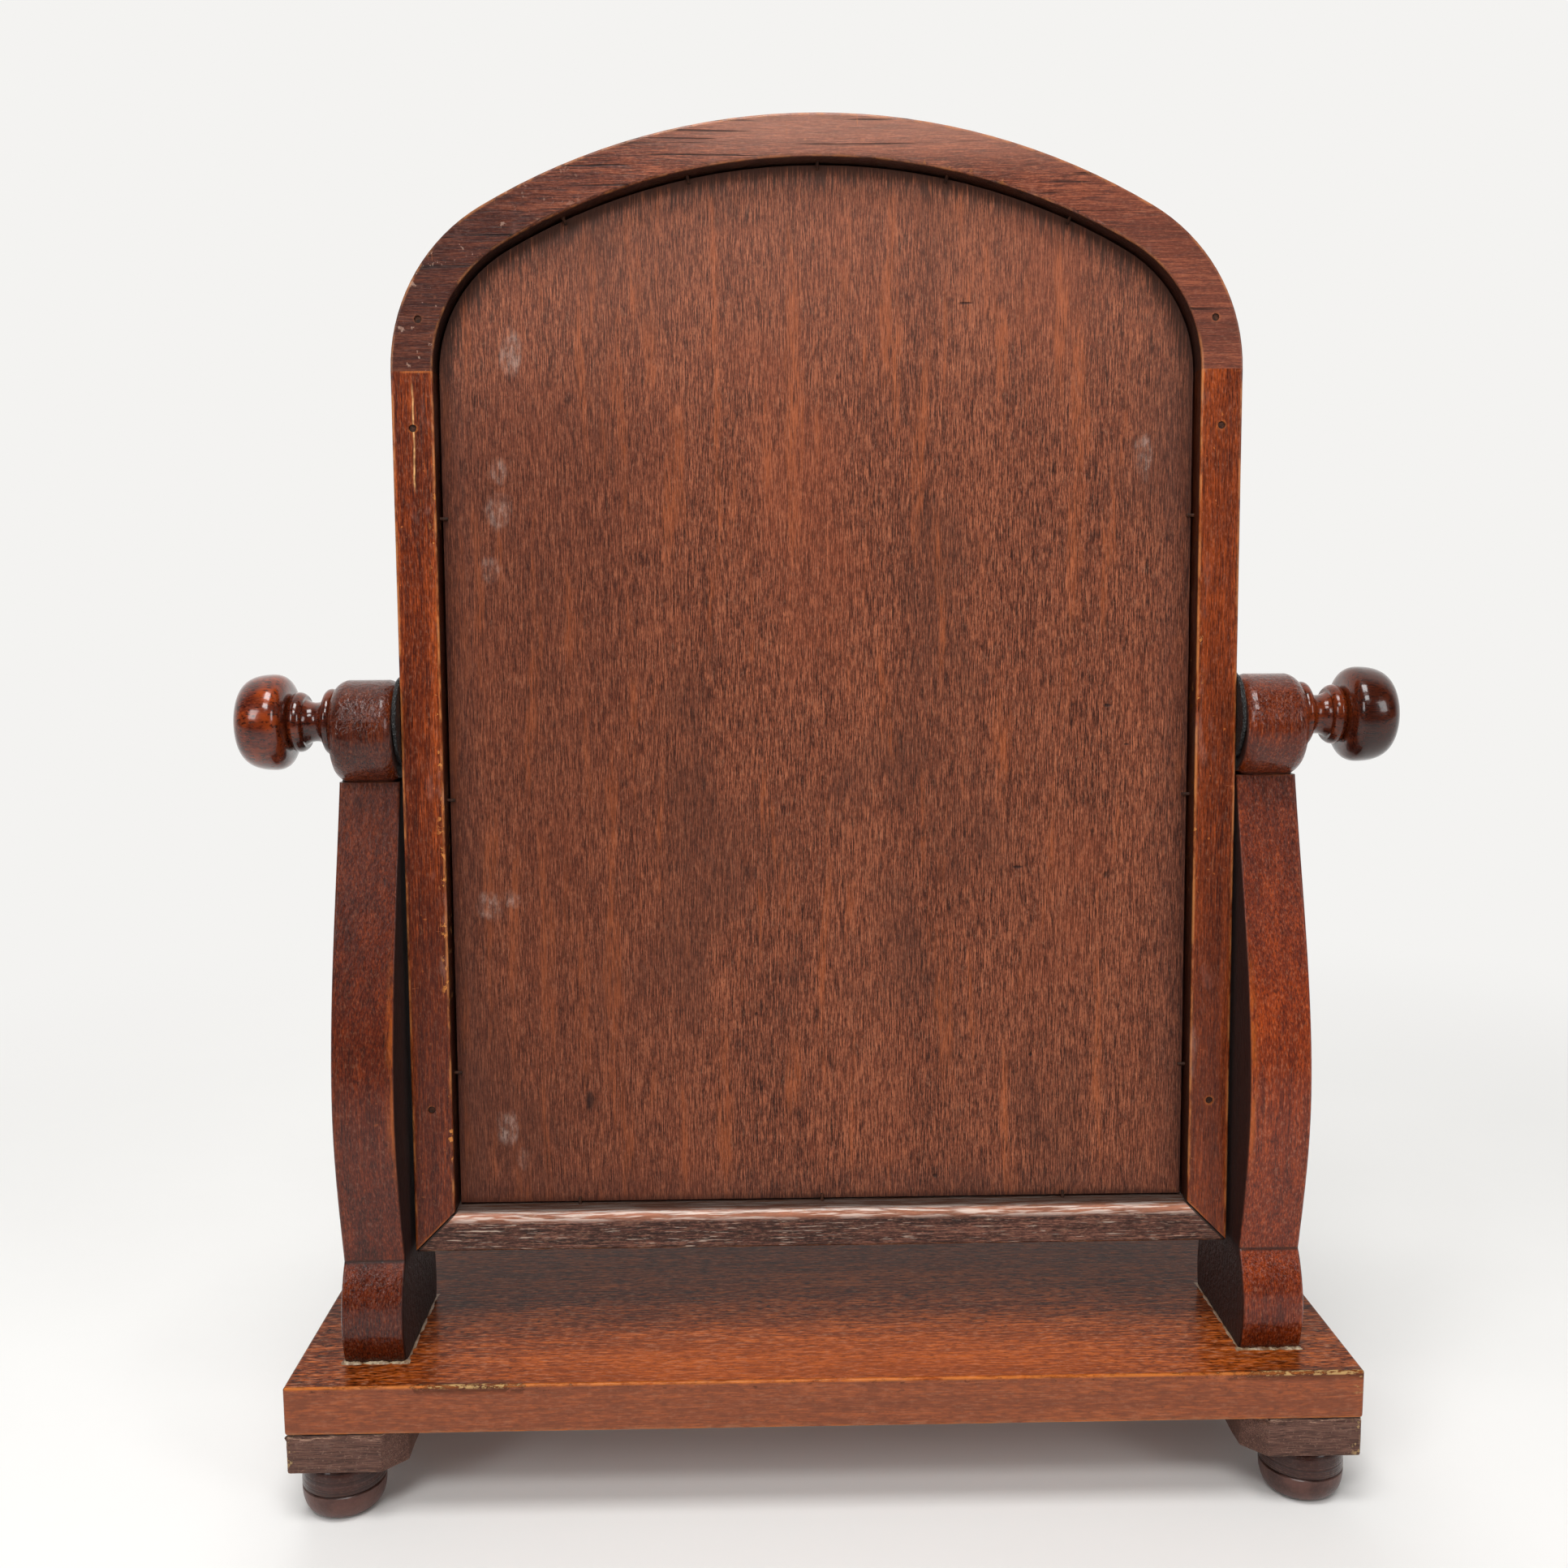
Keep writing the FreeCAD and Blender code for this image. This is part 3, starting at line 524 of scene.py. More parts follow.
def stile_finish(name, shift, middle, scratches, crack_at=None):
    """Stiles: red-brown polish with orange streaks, chipped along the rebate, rubbed pale low down."""
    def mark(f, colour, gloss, height, film):
        if crack_at:
            wander = f.noise((1, 1, 90), (3, 3, 3), 2, 0.5)
            line = abs(f.x - crack_at[0] + (wander - 0.5) * 0.0016).step(0.0006, 0.0001)
            line = line * f.z.step(crack_at[1], crack_at[1] + 0.006) * f.z.step(crack_at[2], crack_at[2] - 0.006)
            line = line * behind(f).step(0.0088, 0.0100)
            split = f.noise((1, 1, 260), (6, 1, 3), 3, 0.6).step(0.38, 0.6)
            colour = f.mix(line * (0.4 + split * 0.5), colour, tone(226, 168, 110))
            height = height - line * 3
        low = f.z.step(0.335, 0.195)
        colour = f.mix(low * 0.26, colour, tone(70, 29, 17))
        return frame_wear_and_shade(f, colour, gloss, height, film, scratches)

    return polished(name, "z", tone(50, 15, 5), middle, tone(158, 70, 25), shift, pores=0.6, figure=0.9, hair=0.5,
                    roughness=0.32, coat=0.3, wear=0.95, worn=tone(190, 106, 46), glints_and_specks=0.27, shine=0.16, mark=mark)


def rail_finish():
    """Bottom rail: dark, dry wood with pale open grain and an upper edge paler from rubbed wear and a painted
    highlight.
    """
    def mark(f, colour, gloss, height, film):
        flecks = f.noise((95, 1500, 1500), (5, 3, 1), 3, 0.6).step(0.60, 0.67)
        colour = f.mix(flecks * 0.6, colour, tone(206, 182, 164))
        # The upper lip is paler, partly rubbed wear and partly a painted highlight, with whitish painted highlights
        # along it.
        lip = f.z.step(FRAME_BOTTOM + BACK_WIDTH - 0.0052, FRAME_BOTTOM + BACK_WIDTH - 0.0018)
        rub = f.noise((50, 300, 300), (5, 9, 1), 3, 0.6)
        colour = f.mix(lip * (rub.step(0.3, 0.6) * 0.3 + 0.4), colour, tone(188, 124, 96))
        white = f.noise((46, 1400, 700), (8, 2, 6), 3, 0.6).step(0.47, 0.58)
        colour = f.mix(lip * white * 0.7, colour, tone(232, 214, 202))
        height = height - flecks * 1.5
        return frame_wear_and_shade(f, colour, gloss + flecks * 0.2, height, film * (1 - flecks * 0.6), 0.3)

    return polished("rail_polish", "x", tone(38, 20, 14), tone(78, 44, 34), tone(126, 82, 66), (4, 7, 2), pores=1.0,
                    figure=1.0, hair=0.7, roughness=0.4, coat=0.2, wear=0.5, worn=tone(150, 96, 70), glints_and_specks=0.4,
                    mark=mark)


def knob_finish(name, shift, deep, coat):
    """Knobs: deep red gloss, orange where the figure shows, with dark flecks and fine turning lines."""
    def mark(f, colour, gloss, height, film):
        blush = f.noise((44, 44, 44), (shift[1], 3, 2), 3, 0.6).step(0.42, 0.60)
        colour = f.mix(blush * 0.7, colour, tone(164, 66, 14))
        flecks = f.noise((330, 900, 900), shift, 2, 0.6).step(0.54, 0.64)
        colour = f.mix(flecks * 0.8, colour, tone(34, 10, 5))
        shade = abs(f.x).step(KNOB_WAIST + 0.006, KNOB_WAIST - 0.004)
        colour = f.mix(shade * 0.55 + (1 - shade) * deep, colour, tone(26, 9, 6))
        turning = f.noise((1500, 1, 1), shift, 2, 0.6)
        return colour, gloss, height + (turning - 0.5) * 0.4, film

    return polished(name, "x", tone(36, 10, 5), tone(92, 30, 13), tone(146, 58, 18), shift, pores=0.3, figure=0.9,
                    hair=0.4, roughness=0.2, coat=coat, bump=0.00005, wear=0.35, worn=tone(158, 76, 34), glints_and_specks=0.12,
                    mark=mark)


def foot_finish():
    """Bun feet: dull purple-brown, with turning lines above, painted shade in the groove and a paler, smoother
    underside.
    """
    def mark(f, colour, gloss, height, film):
        upper = f.z.step(FOOT_GROOVE - 0.001, FOOT_GROOVE + 0.001)
        turning = f.noise((1, 1, 900), (3, 1, 4), 3, 0.75)
        # Painted shade: the groove is darkened.
        groove = abs(f.z - FOOT_GROOVE).step(0.0010, 0.0003)
        colour = f.mix(upper * turning.step(0.45, 0.6) * 0.55, colour, tone(26, 15, 14))
        colour = f.mix(groove * 0.8, colour, tone(14, 8, 8))
        scuffed = (1 - upper) * f.noise((70, 70, 70), (2, 9, 1), 3, 0.6).step(0.3, 0.6)
        colour = f.mix(scuffed * 0.55, colour, tone(108, 74, 66))
        return colour, gloss + scuffed * 0.1, height + (turning - 0.5) * upper * 3.0, film * (1 - scuffed * 0.5)

    return polished("foot_polish", "x", tone(36, 20, 17), tone(64, 37, 31), tone(98, 62, 52), (8, 2, 2), pores=0.2,
                    figure=0.4, hair=0.1, roughness=0.3, coat=0.4, wear=0.4, worn=tone(128, 88, 70), glints_and_specks=0.12,
                    mark=mark)


def block_finish():
    """Foot blocks: brown wood, never polished, torn pale along the top, bruised on its arrises."""
    f = Finish("block_stain", specular_ior_level=0.24)
    dark, middle, light = tone(58, 38, 31), tone(92, 62, 52), tone(126, 92, 78)
    colour, pore = grain_colour(f, "x", dark, middle, light, (3, 3, 3), pores=0.6, figure=0.7, hair=0.6)
    grime = f.noise((130, 130, 130), (1, 2, 3), 5, 0.7)
    fine = f.noise((1000, 1000, 1000), (4, 2, 3), 3, 0.6)
    colour = f.mix(grime.step(0.56, 0.72) * 0.35, colour, tone(124, 98, 86))
    colour = f.mix(fine.step(0.58, 0.7) * 0.4, colour, tone(142, 112, 98))
    edges = edge_mask(f, 0.0016, 0.03, 0.2) * f.noise((210, 210, 210), (1, 1, 1), 4, 0.7).step(0.46, 0.6)
    colour = f.mix(edges * 0.7, colour, tone(176, 140, 112))
    torn = (BASE_BOTTOM - f.z).step(0.0034, 0.0010) * f.noise((90, 90, 700), (5, 5, 5), 4, 0.7).step(0.54, 0.62)
    colour = f.mix(torn * 0.7, colour, tone(196, 158, 134))
    gap = (BASE_BOTTOM - f.z).step(0.0009, 0.0004)
    colour = f.mix(gap * 0.8, colour, tone(30, 17, 13))
    end = (abs(abs(f.x) - BASE_HALF) + abs(abs(f.y) - BASE_BACK)).step(0.006, 0.002)
    chip = end * f.noise((420, 420, 340), (6, 1, 4), 3, 0.6).step(0.57, 0.62)
    colour = f.mix(chip * 0.75, colour, tone(170, 140, 96))
    gloss = 0.6 + (grime - 0.5) * 0.3
    height = grime * 1.2 - pore + fine * 0.6 - chip * 2
    return f.feed(base_color=colour, roughness=gloss, normal=f.bump(height, 0.0002))


def beech_finish():
    """Dowels and keys: bare, pale beech."""
    f = Finish("beech_raw", specular_ior_level=0.3)
    dark, middle, light = tone(170, 126, 84), tone(198, 156, 110), tone(218, 182, 138)
    colour, pore = grain_colour(f, "z", dark, middle, light, (1, 6, 2), pores=0.4, figure=0.7, hair=0.5)
    gloss = 0.6 + f.noise((300, 300, 300)) * 0.1
    return f.feed(base_color=colour, roughness=gloss, normal=f.bump(pore * -1.0, 0.0001))


def silvered_finish():
    """Old looking-glass: silvered, a little foxed and greyed along its edges."""
    f = Finish("looking_glass", metallic=1.0, coat_weight=0.5, coat_roughness=0.02)
    spots = f.noise((160, 160, 160), (4, 4, 4), 5, 0.75)
    border = rebate_distance(f, BACK_WIDTH).step(0.03, 0.004)
    foxing = (spots + border * 0.16).step(0.70, 0.78)
    bloom = f.noise((26, 26, 26), (8, 2, 5), 4, 0.65)
    colour = f.mix(bloom.step(0.35, 0.75) * 0.3, tone(230, 233, 231), tone(214, 217, 213))
    colour = f.mix(border * 0.3, colour, tone(160, 152, 138))
    colour = f.mix(foxing * 0.85, colour, tone(46, 38, 30))
    return f.feed(base_color=colour, roughness=0.012 + bloom * 0.02 + foxing * 0.4)


def paper_finish():
    """Backing paper: brown, pulpy, stained by damp."""
    f = Finish("backing_paper", specular_ior_level=0.2)
    pulp = f.noise((420, 420, 420), (1, 2, 3), 6, 0.7)
    stain = f.noise((18, 18, 18), (6, 2, 3), 4, 0.6)
    colour = f.mix(pulp.step(0.35, 0.7), tone(176, 146, 104), tone(198, 172, 132))
    colour = f.mix(stain.step(0.52, 0.7) * 0.5, colour, tone(138, 102, 64))
    return f.feed(base_color=colour, roughness=0.8 + pulp * 0.1, normal=f.bump(pulp, 0.00008))


def brass_finish():
    """Nut plates: brushed brass, dulled and browned."""
    f = Finish("old_brass", metallic=1.0)
    tarnish = f.noise((110, 110, 110), (2, 2, 2), 5, 0.65)
    brushed = f.noise((60, 900, 60), (1, 7, 3), 2, 0.5)
    colour = f.mix(tarnish.step(0.4, 0.68) * 0.75, tone(196, 158, 86), tone(112, 82, 44))
    return f.feed(base_color=colour, roughness=0.28 + tarnish.step(0.4, 0.7) * 0.3 + (brushed - 0.5) * 0.1,
                  normal=f.bump(brushed, 0.00005))


def iron_finish():
    """Screws: dark iron, browned with old rust."""
    f = Finish("old_iron")
    rust = f.noise((520, 520, 520), (3, 9, 2), 5, 0.7)
    browned = rust.step(0.45, 0.62)
    colour = f.mix(browned, tone(74, 68, 64), tone(84, 48, 30))
    return f.feed(base_color=colour, roughness=0.42 + rust.step(0.4, 0.66) * 0.35, metallic=0.9 - browned * 0.7,
                  normal=f.bump(rust, 0.00012))


def brad_finish():
    """Nails and brads: thin pins, browned all over, that hardly show against the wood."""
    f = Finish("rusted_brads", specular_ior_level=0.2)
    rust = f.noise((900, 900, 900), (2, 6, 4), 4, 0.7)
    colour = f.mix(rust.step(0.4, 0.62), tone(42, 27, 21), tone(74, 42, 27))
    return f.feed(base_color=colour, roughness=0.6 + rust * 0.3, normal=f.bump(rust, 0.0001))


def leather_finish():
    """Black leather: pebbled grain, creased and rubbed shiny."""
    f = Finish("black_leather", specular_ior_level=0.5)
    pebble = f.cells((900, 900, 900), (1, 1, 1), "DISTANCE_TO_EDGE")
    crease = f.noise((260, 140, 140), (4, 2, 6), 4, 0.6)
    colour = f.mix(crease.step(0.55, 0.75) * 0.6, tone(12, 11, 11), tone(36, 31, 30))
    height = pebble.step(0.0, 0.3) + crease * 5.0
    return f.feed(base_color=colour, roughness=0.30 + crease * 0.3, normal=f.bump(height, 0.0003))


def glue_finish():
    """Old animal glue: milky, cracked, browned in places."""
    f = Finish("old_glue", specular_ior_level=0.5)
    cloud = f.noise((240, 240, 240), (3, 3, 7), 4, 0.7)
    colour = f.mix(cloud.step(0.36, 0.62), tone(178, 160, 132), tone(104, 70, 40))
    colour = f.mix((f.y - SOLE_BACK).step(0.0006, -0.0016) * 0.7, colour, tone(92, 58, 30))
    return f.feed(base_color=colour, roughness=0.3 + cloud * 0.3, normal=f.bump(cloud, 0.0003))


PALE = tone(244, 243, 241)
ROOM_LIGHT = 0.06
ROOM_FLOOR = tuple(c * ROOM_LIGHT for c in PALE[:3]) + (1.0,)


def floor_finish():
    """A pale floor that keeps the shadow near the object and fades into the background further off."""
    f = Finish("pale_floor", specular_ior_level=0.2)
    mottle = f.noise((3, 3, 3), (1, 2, 3), 5, 0.6)
    colour = f.mix(mottle, tone(236, 235, 233), tone(229, 228, 226))
    f.feed(base_color=colour, roughness=0.42 + mottle * 0.1)
    seen, reflected, through = f.rays("Is Camera Ray", "Is Glossy Ray", "Is Transmission Ray")
    far = (f.x * f.x + f.y * f.y) ** 0.5
    share = far.step(0.35, 1.1) * seen.high(reflected).high(through)
    far_colour = f.mix(reflected * f.y.step(0.4, 1.9), PALE, ROOM_FLOOR)
    glow = f.node("ShaderNodeEmission", {}, {"Color": far_colour, "Strength": 1.0})
    both = f.node("ShaderNodeMixShader", {}, [share, Value(f, f.shader.outputs[0]), glow])
    clear = f.node("ShaderNodeBsdfTransparent")
    below = f.node("ShaderNodeNewGeometry", output="Backfacing")
    both = f.node("ShaderNodeMixShader", {}, [below, both, clear])
    f.tree.links.new(both.socket, f.tree.nodes["Material Output"].inputs["Surface"])
    return f.material


# Modelling by hand

def start_edit(name, primitive, **size):
    """Adds a primitive, selected all over in edit mode, with nothing else selected."""
    if bpy.context.object and bpy.context.object.mode == "EDIT":
        bpy.ops.object.mode_set(mode="OBJECT")
    bpy.ops.object.select_all(action="DESELECT")
    primitive(**size)
    piece = bpy.context.object
    piece.name = name
    bpy.ops.object.transform_apply(location=True, rotation=True, scale=True)
    bpy.ops.object.mode_set(mode="EDIT")
    bpy.ops.mesh.select_all(action="SELECT")
    return piece


def end_edit(piece, smooth=35):
    """Cleans the mesh, leaves edit mode, and smooths it except across sharper angles."""
    bpy.ops.mesh.select_all(action="SELECT")
    bpy.ops.mesh.remove_doubles(threshold=1e-6)
    bpy.ops.mesh.normals_make_consistent(inside=False)
    bpy.ops.object.mode_set(mode="OBJECT")
    bpy.ops.object.shade_smooth_by_angle(angle=math.radians(smooth))
    return piece


def pick(piece, kind, test):
    """Selects only the faces or edges whose middle and normal pass a test."""
    bpy.ops.mesh.select_all(action="DESELECT")
    bpy.ops.mesh.select_mode(type=kind)
    bpy.ops.object.mode_set(mode="OBJECT")
    mesh = piece.data
    if kind == "FACE":
        for face in mesh.polygons:
            face.select = bool(test(face.center, face.normal))
    else:
        for edge in mesh.edges:
            ends = [mesh.vertices[i].co for i in edge.vertices]
            edge.select = bool(test((ends[0] + ends[1]) / 2, ends[1] - ends[0]))
    bpy.ops.object.mode_set(mode="EDIT")


def apply_all(piece):
    """Applies the modifiers of a piece in order."""
    bpy.ops.object.select_all(action="DESELECT")
    bpy.context.view_layer.objects.active = piece
    piece.select_set(True)
    for modifier in list(piece.modifiers):
        bpy.ops.object.modifier_apply(modifier=modifier.name)


def rough_up(piece, size, depth, seed_place):
    """Moves a mesh in and out by a cloud pattern, so that it isn't machine-straight."""
    cloud = bpy.data.textures.new(piece.name + "_cloud", "CLOUDS")
    cloud.noise_scale = size
    cloud.noise_depth = 3
    guide = bpy.data.objects.new(piece.name + "_guide", None)
    bpy.context.scene.collection.objects.link(guide)
    guide.location = seed_place
    made = piece.modifiers.new("rough", "DISPLACE")
    made.texture = cloud
    made.texture_coords = "OBJECT"
    made.texture_coords_object = guide
    made.mid_level = 0.5
    made.strength = depth
    bpy.context.view_layer.update()
    apply_all(piece)
    bpy.data.objects.remove(guide)
    bpy.data.textures.remove(cloud)


def dress(piece, material, body):
    """Gives a piece its material, in a slot of its own, and the body that it rides on."""
    piece.data.materials.clear()
    piece.data.materials.append(material)
    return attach(piece, body)


LEATHER_RADIUS = 0.0186
WASHER_RADIUS = 0.0122
KNOB_SEAT = 0.1965
LEATHER_INNER = 0.0044
LEATHER_SIDES = 72
LEATHER_RINGS = 4
LEATHER_RING = 0.16
LEATHER_SHARE = 0.9
RIM_ROUND = 0.3
RIPPLE = 0.00035
CREASE_SIZE = 0.004
CREASE_SHARE = 0.10


def leather_pad(name, x_low, x_high, radius, material, body, node, ripple):
    """A cut leather washer: a ring with a rolled, rippled rim, standing in its node's place."""
    thick = x_high - x_low
    piece = start_edit(name, bpy.ops.mesh.primitive_cylinder_add, vertices=LEATHER_SIDES, radius=radius,
                       depth=thick * LEATHER_SHARE, end_fill_type="NGON",
                       location=((x_low + x_high) / 2, PIVOT.y, PIVOT.z), rotation=(0, math.pi / 2, 0))
    pick(piece, "FACE", lambda middle, normal: abs(normal.x) > 0.9)
    for _ in range(LEATHER_RINGS):
        bpy.ops.mesh.inset(thickness=radius * LEATHER_RING, depth=0)
    bpy.ops.mesh.inset(thickness=radius * (1 - LEATHER_RINGS * LEATHER_RING) - LEATHER_INNER, depth=0)
    bpy.ops.mesh.bridge_edge_loops()
    pick(piece, "EDGE", lambda middle, run: abs((middle - PIVOT).yz.length - radius) < radius * 0.02
         and abs(run.x) < 1e-6)
    bpy.ops.mesh.bevel(offset=thick * RIM_ROUND, segments=3, affect="EDGES")
    end_edit(piece, 60)
    for vertex in piece.data.vertices:
        out = Vector((0, vertex.co.y - PIVOT.y, vertex.co.z - PIVOT.z))
        turn = math.atan2(out.z, out.y)
        share = (out.length / radius) ** 4
        wave = math.sin(turn * 7 + ripple) * 0.5 + math.sin(turn * 11 + ripple * 2) * 0.3 + math.sin(turn * 19) * 0.2
        vertex.co += out.normalized() * (wave * share * RIPPLE)
    rough_up(piece, CREASE_SIZE, thick * CREASE_SHARE, (ripple, 0.3, 0.1))
    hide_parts(node)
    return dress(piece, material, body)


BLOCK_GRAIN = 0.0009
HEADS_PROUD = 0.00015
CORNER_CUT = 0.009
SAWN_SHORT = 0.0004
SAWN_WAVES = ((60, 0.00035), (260, 0.00016))
TEAR_DEPTH = 0.0009
TEAR_LEDGES = (0.0011, 0.0024)


def hewn_block(corner, x_sign, y_sign, material):
    """A sawn foot block: its inner corner cut off, its sides uneven, its top edge torn in steps."""
    low, high = (Vector(point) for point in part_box(corner + "_block"))
    middle, size = (low + high) / 2, high - low
    size.z -= HEADS_PROUD
    middle.z += HEADS_PROUD / 2
    piece = start_edit(corner + "_hewn_block", bpy.ops.mesh.primitive_cube_add, size=1, location=middle, scale=size)
    inner = middle.x - x_sign * size.x / 2
    outer = middle.y + y_sign * size.y / 2
    pick(piece, "EDGE", lambda spot, run: abs(run.x) + abs(run.y) < 1e-6
         and abs(spot.x - inner) + abs(spot.y - outer) < 1e-5)
    bpy.ops.mesh.bevel(offset=CORNER_CUT, segments=1, affect="EDGES")
    end_edit(piece)
    even = piece.modifiers.new("even", "REMESH")
    even.mode = "VOXEL"
    even.voxel_size = BLOCK_GRAIN
    apply_all(piece)
    for vertex in piece.data.vertices:
        place = vertex.co
        side = Vector((vertex.normal.x, vertex.normal.y, 0))
        wave = sum(noise.noise(place * often) * reach for often, reach in SAWN_WAVES)
        below = high.z - place.z
        tear = max(0.0, noise.noise(Vector((place.x * 110, place.y * 110, 3.0))) + 0.15)
        ledge = TEAR_LEDGES[tear > 0.25]
        cut = TEAR_DEPTH * min(1.0, tear * 2.2) if 0.0 < below < ledge else 0.0
        moved = place + side * (wave - SAWN_SHORT - cut)
        vertex.co = [min(max(c, least), most) for c, least, most in zip(moved, low, high)]
    bpy.ops.object.shade_smooth_by_angle(angle=math.radians(40))
    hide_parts(corner + "_block")
    return dress(piece, material, "stand")


GLUE_WIDTH = 0.0020
GLUE_HEIGHT = 0.0015
GLUE_UNDER = 0.4
GLUE_CUTS = 31
GLUE_AT_SIDES = 0.45


def glue_line(name, side, material):
    """Squeezed-out glue round the foot of an upright: a thin uneven bead that dips away in places."""
    middle = side * (UPRIGHT_INNER + UPRIGHT_OUTER) / 2
    centre = (middle, (SOLE_BACK + SOLE_FRONT) / 2, BASE_TOP)
    wide, deep = UPRIGHT_OUTER - UPRIGHT_INNER, SOLE_BACK - SOLE_FRONT
    piece = start_edit(name, bpy.ops.mesh.primitive_plane_add, size=1, location=centre)
    bpy.ops.transform.resize(value=(wide + 2 * GLUE_WIDTH, deep + 2 * GLUE_WIDTH, 1), center_override=centre)
    bpy.ops.mesh.inset(thickness=GLUE_WIDTH * (1 + GLUE_UNDER), depth=0)
    bpy.ops.mesh.delete(type="FACE")
    bpy.ops.mesh.select_all(action="SELECT")
    bpy.ops.mesh.subdivide(number_cuts=GLUE_CUTS)
    bpy.ops.mesh.select_all(action="SELECT")
    bpy.ops.mesh.extrude_region_move(TRANSFORM_OT_translate={"value": (0, 0, GLUE_HEIGHT)})
    end_edit(piece, 70)
    for vertex in piece.data.vertices:
        if vertex.co.z < BASE_TOP + GLUE_HEIGHT / 2:
            vertex.co.z -= GLUE_HEIGHT
            continue
        out = max(abs(vertex.co.x - middle) - wide / 2, vertex.co.y - SOLE_BACK, SOLE_FRONT - vertex.co.y,
                  0.0) / GLUE_WIDTH
        run = vertex.co.x * 1.3 + vertex.co.y
        swell = 0.62 + 0.2 * math.sin(run * 410 + side) + 0.16 * math.sin(run * 930 + 2) + 0.1 * math.sin(run * 2100)
        swell *= 1.0 if vertex.co.y > SOLE_BACK - 0.001 else GLUE_AT_SIDES
        vertex.co.z = BASE_TOP + GLUE_HEIGHT * (swell * (1 - out ** 1.5) - 0.12 - 0.2 * out)
    return dress(piece, material, "stand")


THREAD_PITCH = 0.0254 / 18
THREAD_DEPTH = 0.0008
THREAD_STEPS = 32
CREST_START, CREST_END = 0.42, 0.58


def threaded_rod(side, material):
    """A swing screw with its thread cut: one tooth swept round in a right-hand spiral, closed at both ends."""
    low, high = (Vector(point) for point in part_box(side + "_swing_screw"))
    crest = (high.z - low.z) / 2
    root = crest - THREAD_DEPTH
    length = high.x - low.x
    piece = start_edit(side + "_threaded_rod", bpy.ops.mesh.primitive_plane_add, size=2)
    pick(piece, "EDGE", lambda middle, run: middle.y > 0.9)
    bpy.ops.mesh.delete(type="EDGE_FACE")
    bpy.ops.object.mode_set(mode="OBJECT")
    tooth = {(-1, 1): (0.0, root), (-1, -1): (CREST_START, crest), (1, -1): (CREST_END, crest), (1, 1): (1.0, root)}
    for vertex in piece.data.vertices:
        along, out = tooth[round(vertex.co.x), round(vertex.co.y)]
        vertex.co = (along * THREAD_PITCH, 0, out)
    spiral = piece.modifiers.new("spiral", "SCREW")
    spiral.axis = "X"
    spiral.screw_offset = THREAD_PITCH
    spiral.iterations = int(length / THREAD_PITCH) - 1
    spiral.steps = spiral.render_steps = THREAD_STEPS
    spiral.use_merge_vertices = True
    spiral.merge_threshold = 1e-6
    apply_all(piece)
    bpy.ops.object.mode_set(mode="EDIT")
    last = max(vertex.co.x for vertex in piece.data.vertices)
    for start in (0, last - THREAD_PITCH):
        pick(piece, "EDGE", lambda middle, run: abs(middle.y) + abs(run.y) < 1e-7 and middle.z > 0
             and start - 1e-6 < middle.x < start + THREAD_PITCH + 1e-6)
        bpy.ops.mesh.edge_face_add()
    bpy.ops.mesh.select_all(action="SELECT")
    bpy.ops.mesh.fill_holes(sides=0)
    end_edit(piece, 30)
    for vertex in piece.data.vertices:
        vertex.co += Vector((low.x, PIVOT.y, PIVOT.z))
    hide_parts(side + "_swing_screw")
    return dress(piece, material, side + "_knob")


# Studio: each lamp has a name, a place, a size and a power
WORLD_LIGHT = 0.32
LAMPS = (("top_soft", (0.1, 0.55, 1.7), (0.7, 0.5), 15),
         ("above_camera", (0.15, 1.2, 1.45), (0.7, 0.3), 9),
         ("camera_side_left", (1.2, 1.5, 1.0), (0.5, 0.7), 8.5),
         ("camera_side_right", (-1.3, 1.3, 0.9), (0.5, 0.7), 7),
         ("far_side", (0.3, -1.6, 1.2), (1.6, 1.0), 16))
LAMPS_AIM = Vector((0, 0, 0.3))
FLOOR_RADIUS = 6


def studio():
    """A white surround, with a dim room on the camera's side that only reflections show."""
    world = bpy.data.worlds.new("studio")
    bpy.context.scene.world = world
    world.use_nodes = True
    n = Nodes(world.node_tree)
    seen, reflected, through = n.rays("Is Camera Ray", "Is Glossy Ray", "Is Transmission Ray")
    toward = n.parts(n.node("ShaderNodeTexCoord", output="Generated"))
    room = toward[1].step(-0.25, 0.25)
    shown = seen.high(through)
    mirrored = reflected * (1 - room * (1 - ROOM_LIGHT))
    level = shown + (1 - shown) * (mirrored + (1 - reflected) * WORLD_LIGHT)
    sky = n.tree.nodes["Background"]
    sky.inputs["Color"].default_value = PALE
    n.tree.links.new(level.socket, sky.inputs["Strength"])


def floor_and_light():
    """A plain pale floor and soft studio light from above, from the camera's side and from behind."""
    bpy.ops.object.select_all(action="DESELECT")
    bpy.ops.mesh.primitive_circle_add(vertices=96, radius=FLOOR_RADIUS, fill_type="NGON", location=(0, 0, 0))
    floor = bpy.context.object
    floor.name = "floor"
    floor.data.materials.append(floor_finish())
    studio()
    for name, place, size, power in LAMPS:
        data = bpy.data.lights.new(name, "AREA")
        data.shape = "RECTANGLE"
        data.size, data.size_y = size
        data.energy = power
        lamp = bpy.data.objects.new(name, data)
        bpy.context.scene.collection.objects.link(lamp)
        lamp.location = place
        lamp.visible_glossy = name != "far_side"
        lamp.rotation_euler = (LAMPS_AIM - lamp.location).to_track_quat("-Z", "Y").to_euler()


# The camera, as it stood for the photograph
PICTURE = 1932
FOCAL = 1831.7
CAMERA = Vector((0.02636, 0.6316, 0.36768))
DOWN = math.radians(6.80)
ASIDE = math.radians(1.10)
ROLL = math.radians(-0.36)
MIDDLE_ROW = 953.1
SENSOR = 36


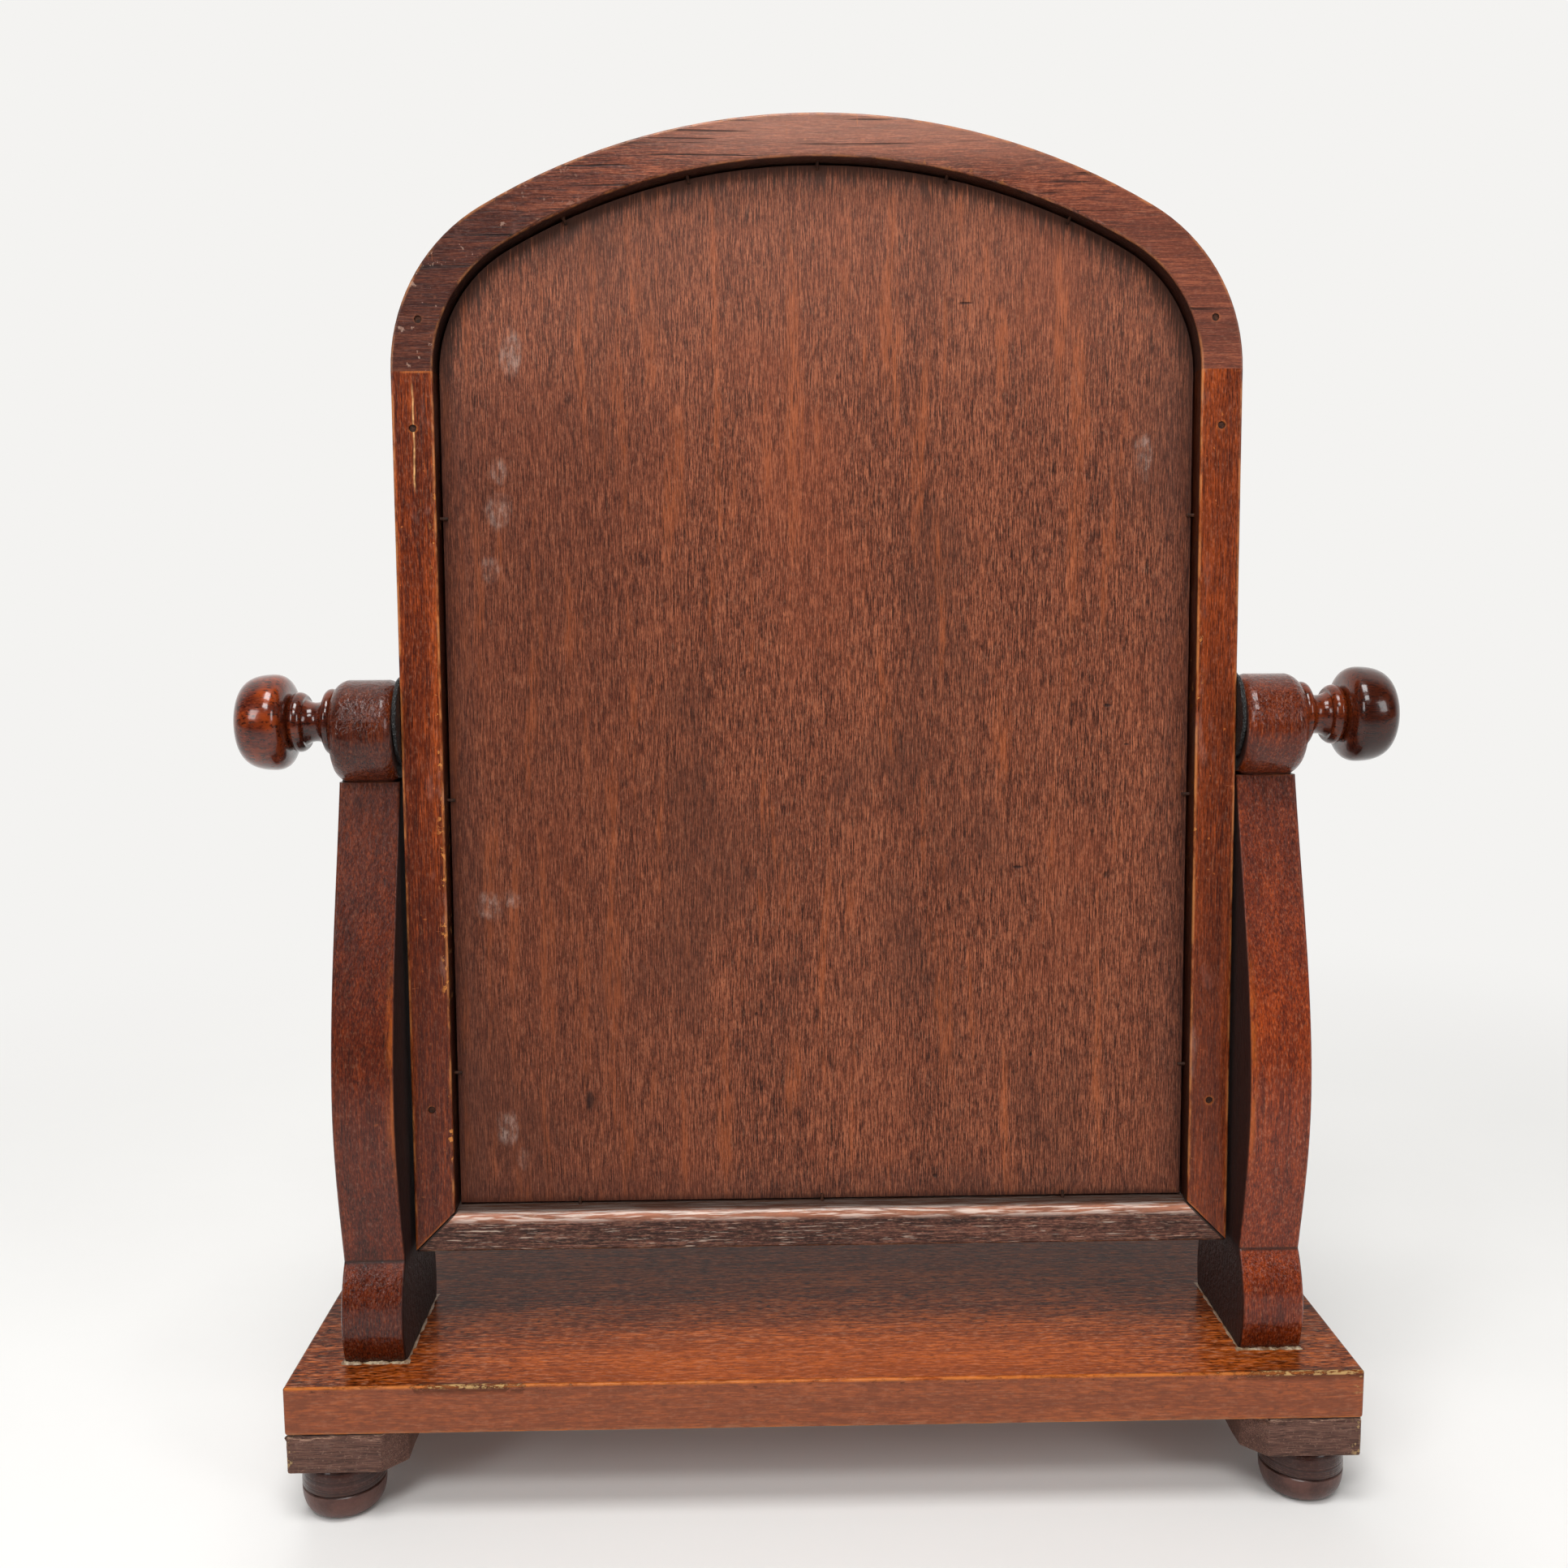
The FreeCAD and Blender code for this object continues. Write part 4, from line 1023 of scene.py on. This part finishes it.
def camera():
    """The photograph's own view: eye, aim, roll and lens as they were fitted to it."""
    forward = Vector((-math.sin(ASIDE) * math.cos(DOWN), -math.cos(ASIDE) * math.cos(DOWN), -math.sin(DOWN)))
    right = Vector((-math.cos(ASIDE), math.sin(ASIDE), 0))
    up = right.cross(forward)
    across = right * math.cos(ROLL) + up * math.sin(ROLL)
    above = up * math.cos(ROLL) - right * math.sin(ROLL)
    data = bpy.data.cameras.new("camera")
    data.sensor_width = SENSOR
    data.lens = FOCAL / PICTURE * SENSOR
    data.shift_y = (MIDDLE_ROW - PICTURE / 2) / PICTURE
    data.clip_start = 0.02
    eye = bpy.data.objects.new("camera", data)
    bpy.context.scene.collection.objects.link(eye)
    turn = Matrix((across, above, -forward)).transposed()
    eye.matrix_world = Matrix.Translation(CAMERA) @ turn.to_4x4()
    bpy.context.scene.camera = eye


def finish_nodes(iron):
    """Gives each node of the model its own finish."""
    turned = foot_finish()
    beech = beech_finish()
    brass = brass_finish()
    coats = {
        "base_board": base_finish(),
        "right_upright": upright_finish("right_upright_polish", 0.60, (3, 1, 6)),
        "left_upright": upright_finish("left_upright_polish", 1.0, (7, 4, 2)),
        "arch_rail": arch_finish(),
        "right_stile": stile_finish("right_stile_polish", (5, 5, 1), tone(96, 35, 12), 1.0, (0.160, 0.4085, 0.4535)),
        "left_stile": stile_finish("left_stile_polish", (2, 8, 4), tone(112, 45, 16), 0.8),
        "bottom_rail": rail_finish(),
        "back_board": board_finish(),
        "mirror_glass": silvered_finish(),
        "backing_paper": paper_finish(),
        "right_knob": knob_finish("right_knob_polish", (2, 6, 3), 0.1, 1.0),
        "left_knob": knob_finish("left_knob_polish", (8, 1, 7), 0.86, 0.7),
        "joint_dowels": beech, "corner_keys": beech,
        "right_nut_plate": brass, "left_nut_plate": brass,
    }
    for corner, *_ in CORNERS:
        coats[corner + "_foot"] = turned
    coats["board_brads"] = coats["frame_nails"] = brad_finish()
    for name in ("block_screws", "upright_screws", "plate_screws", "right_swing_screw", "left_swing_screw"):
        coats[name] = iron
    for name, material in coats.items():
        nodes[name].data.materials.clear()
        nodes[name].data.materials.append(material)


def leather_pads():
    """The pads between frame and rolls, and the washers under the knobs."""
    leather = leather_finish()
    for (side, sign), ripple in zip(SIDES, (0.4, 2.1)):
        ends = sorted((sign * FRAME_HALF, sign * UPRIGHT_INNER))
        leather_pad(side + "_leather_pad", ends[0], ends[1], LEATHER_RADIUS, leather, "stand", side + "_spacer", ripple)
        ends = sorted((sign * UPRIGHT_OUTER, sign * KNOB_SEAT))
        leather_pad(side + "_leather_washer", ends[0], ends[1], WASHER_RADIUS, leather, side + "_washer",
                    side + "_knob_washer", ripple + 1)


bpy.context.scene.view_settings.view_transform = "Standard"
camera()
floor_and_light()
iron = iron_finish()
finish_nodes(iron)
leather_pads()
for side, sign in SIDES:
    threaded_rod(side, iron)
block = block_finish()
for corner, x_sign, y_sign in CORNERS:
    hewn_block(corner, x_sign, y_sign, block)
glue = glue_finish()
for side, sign in SIDES:
    glue_line(side + "_glue_line", sign, glue)
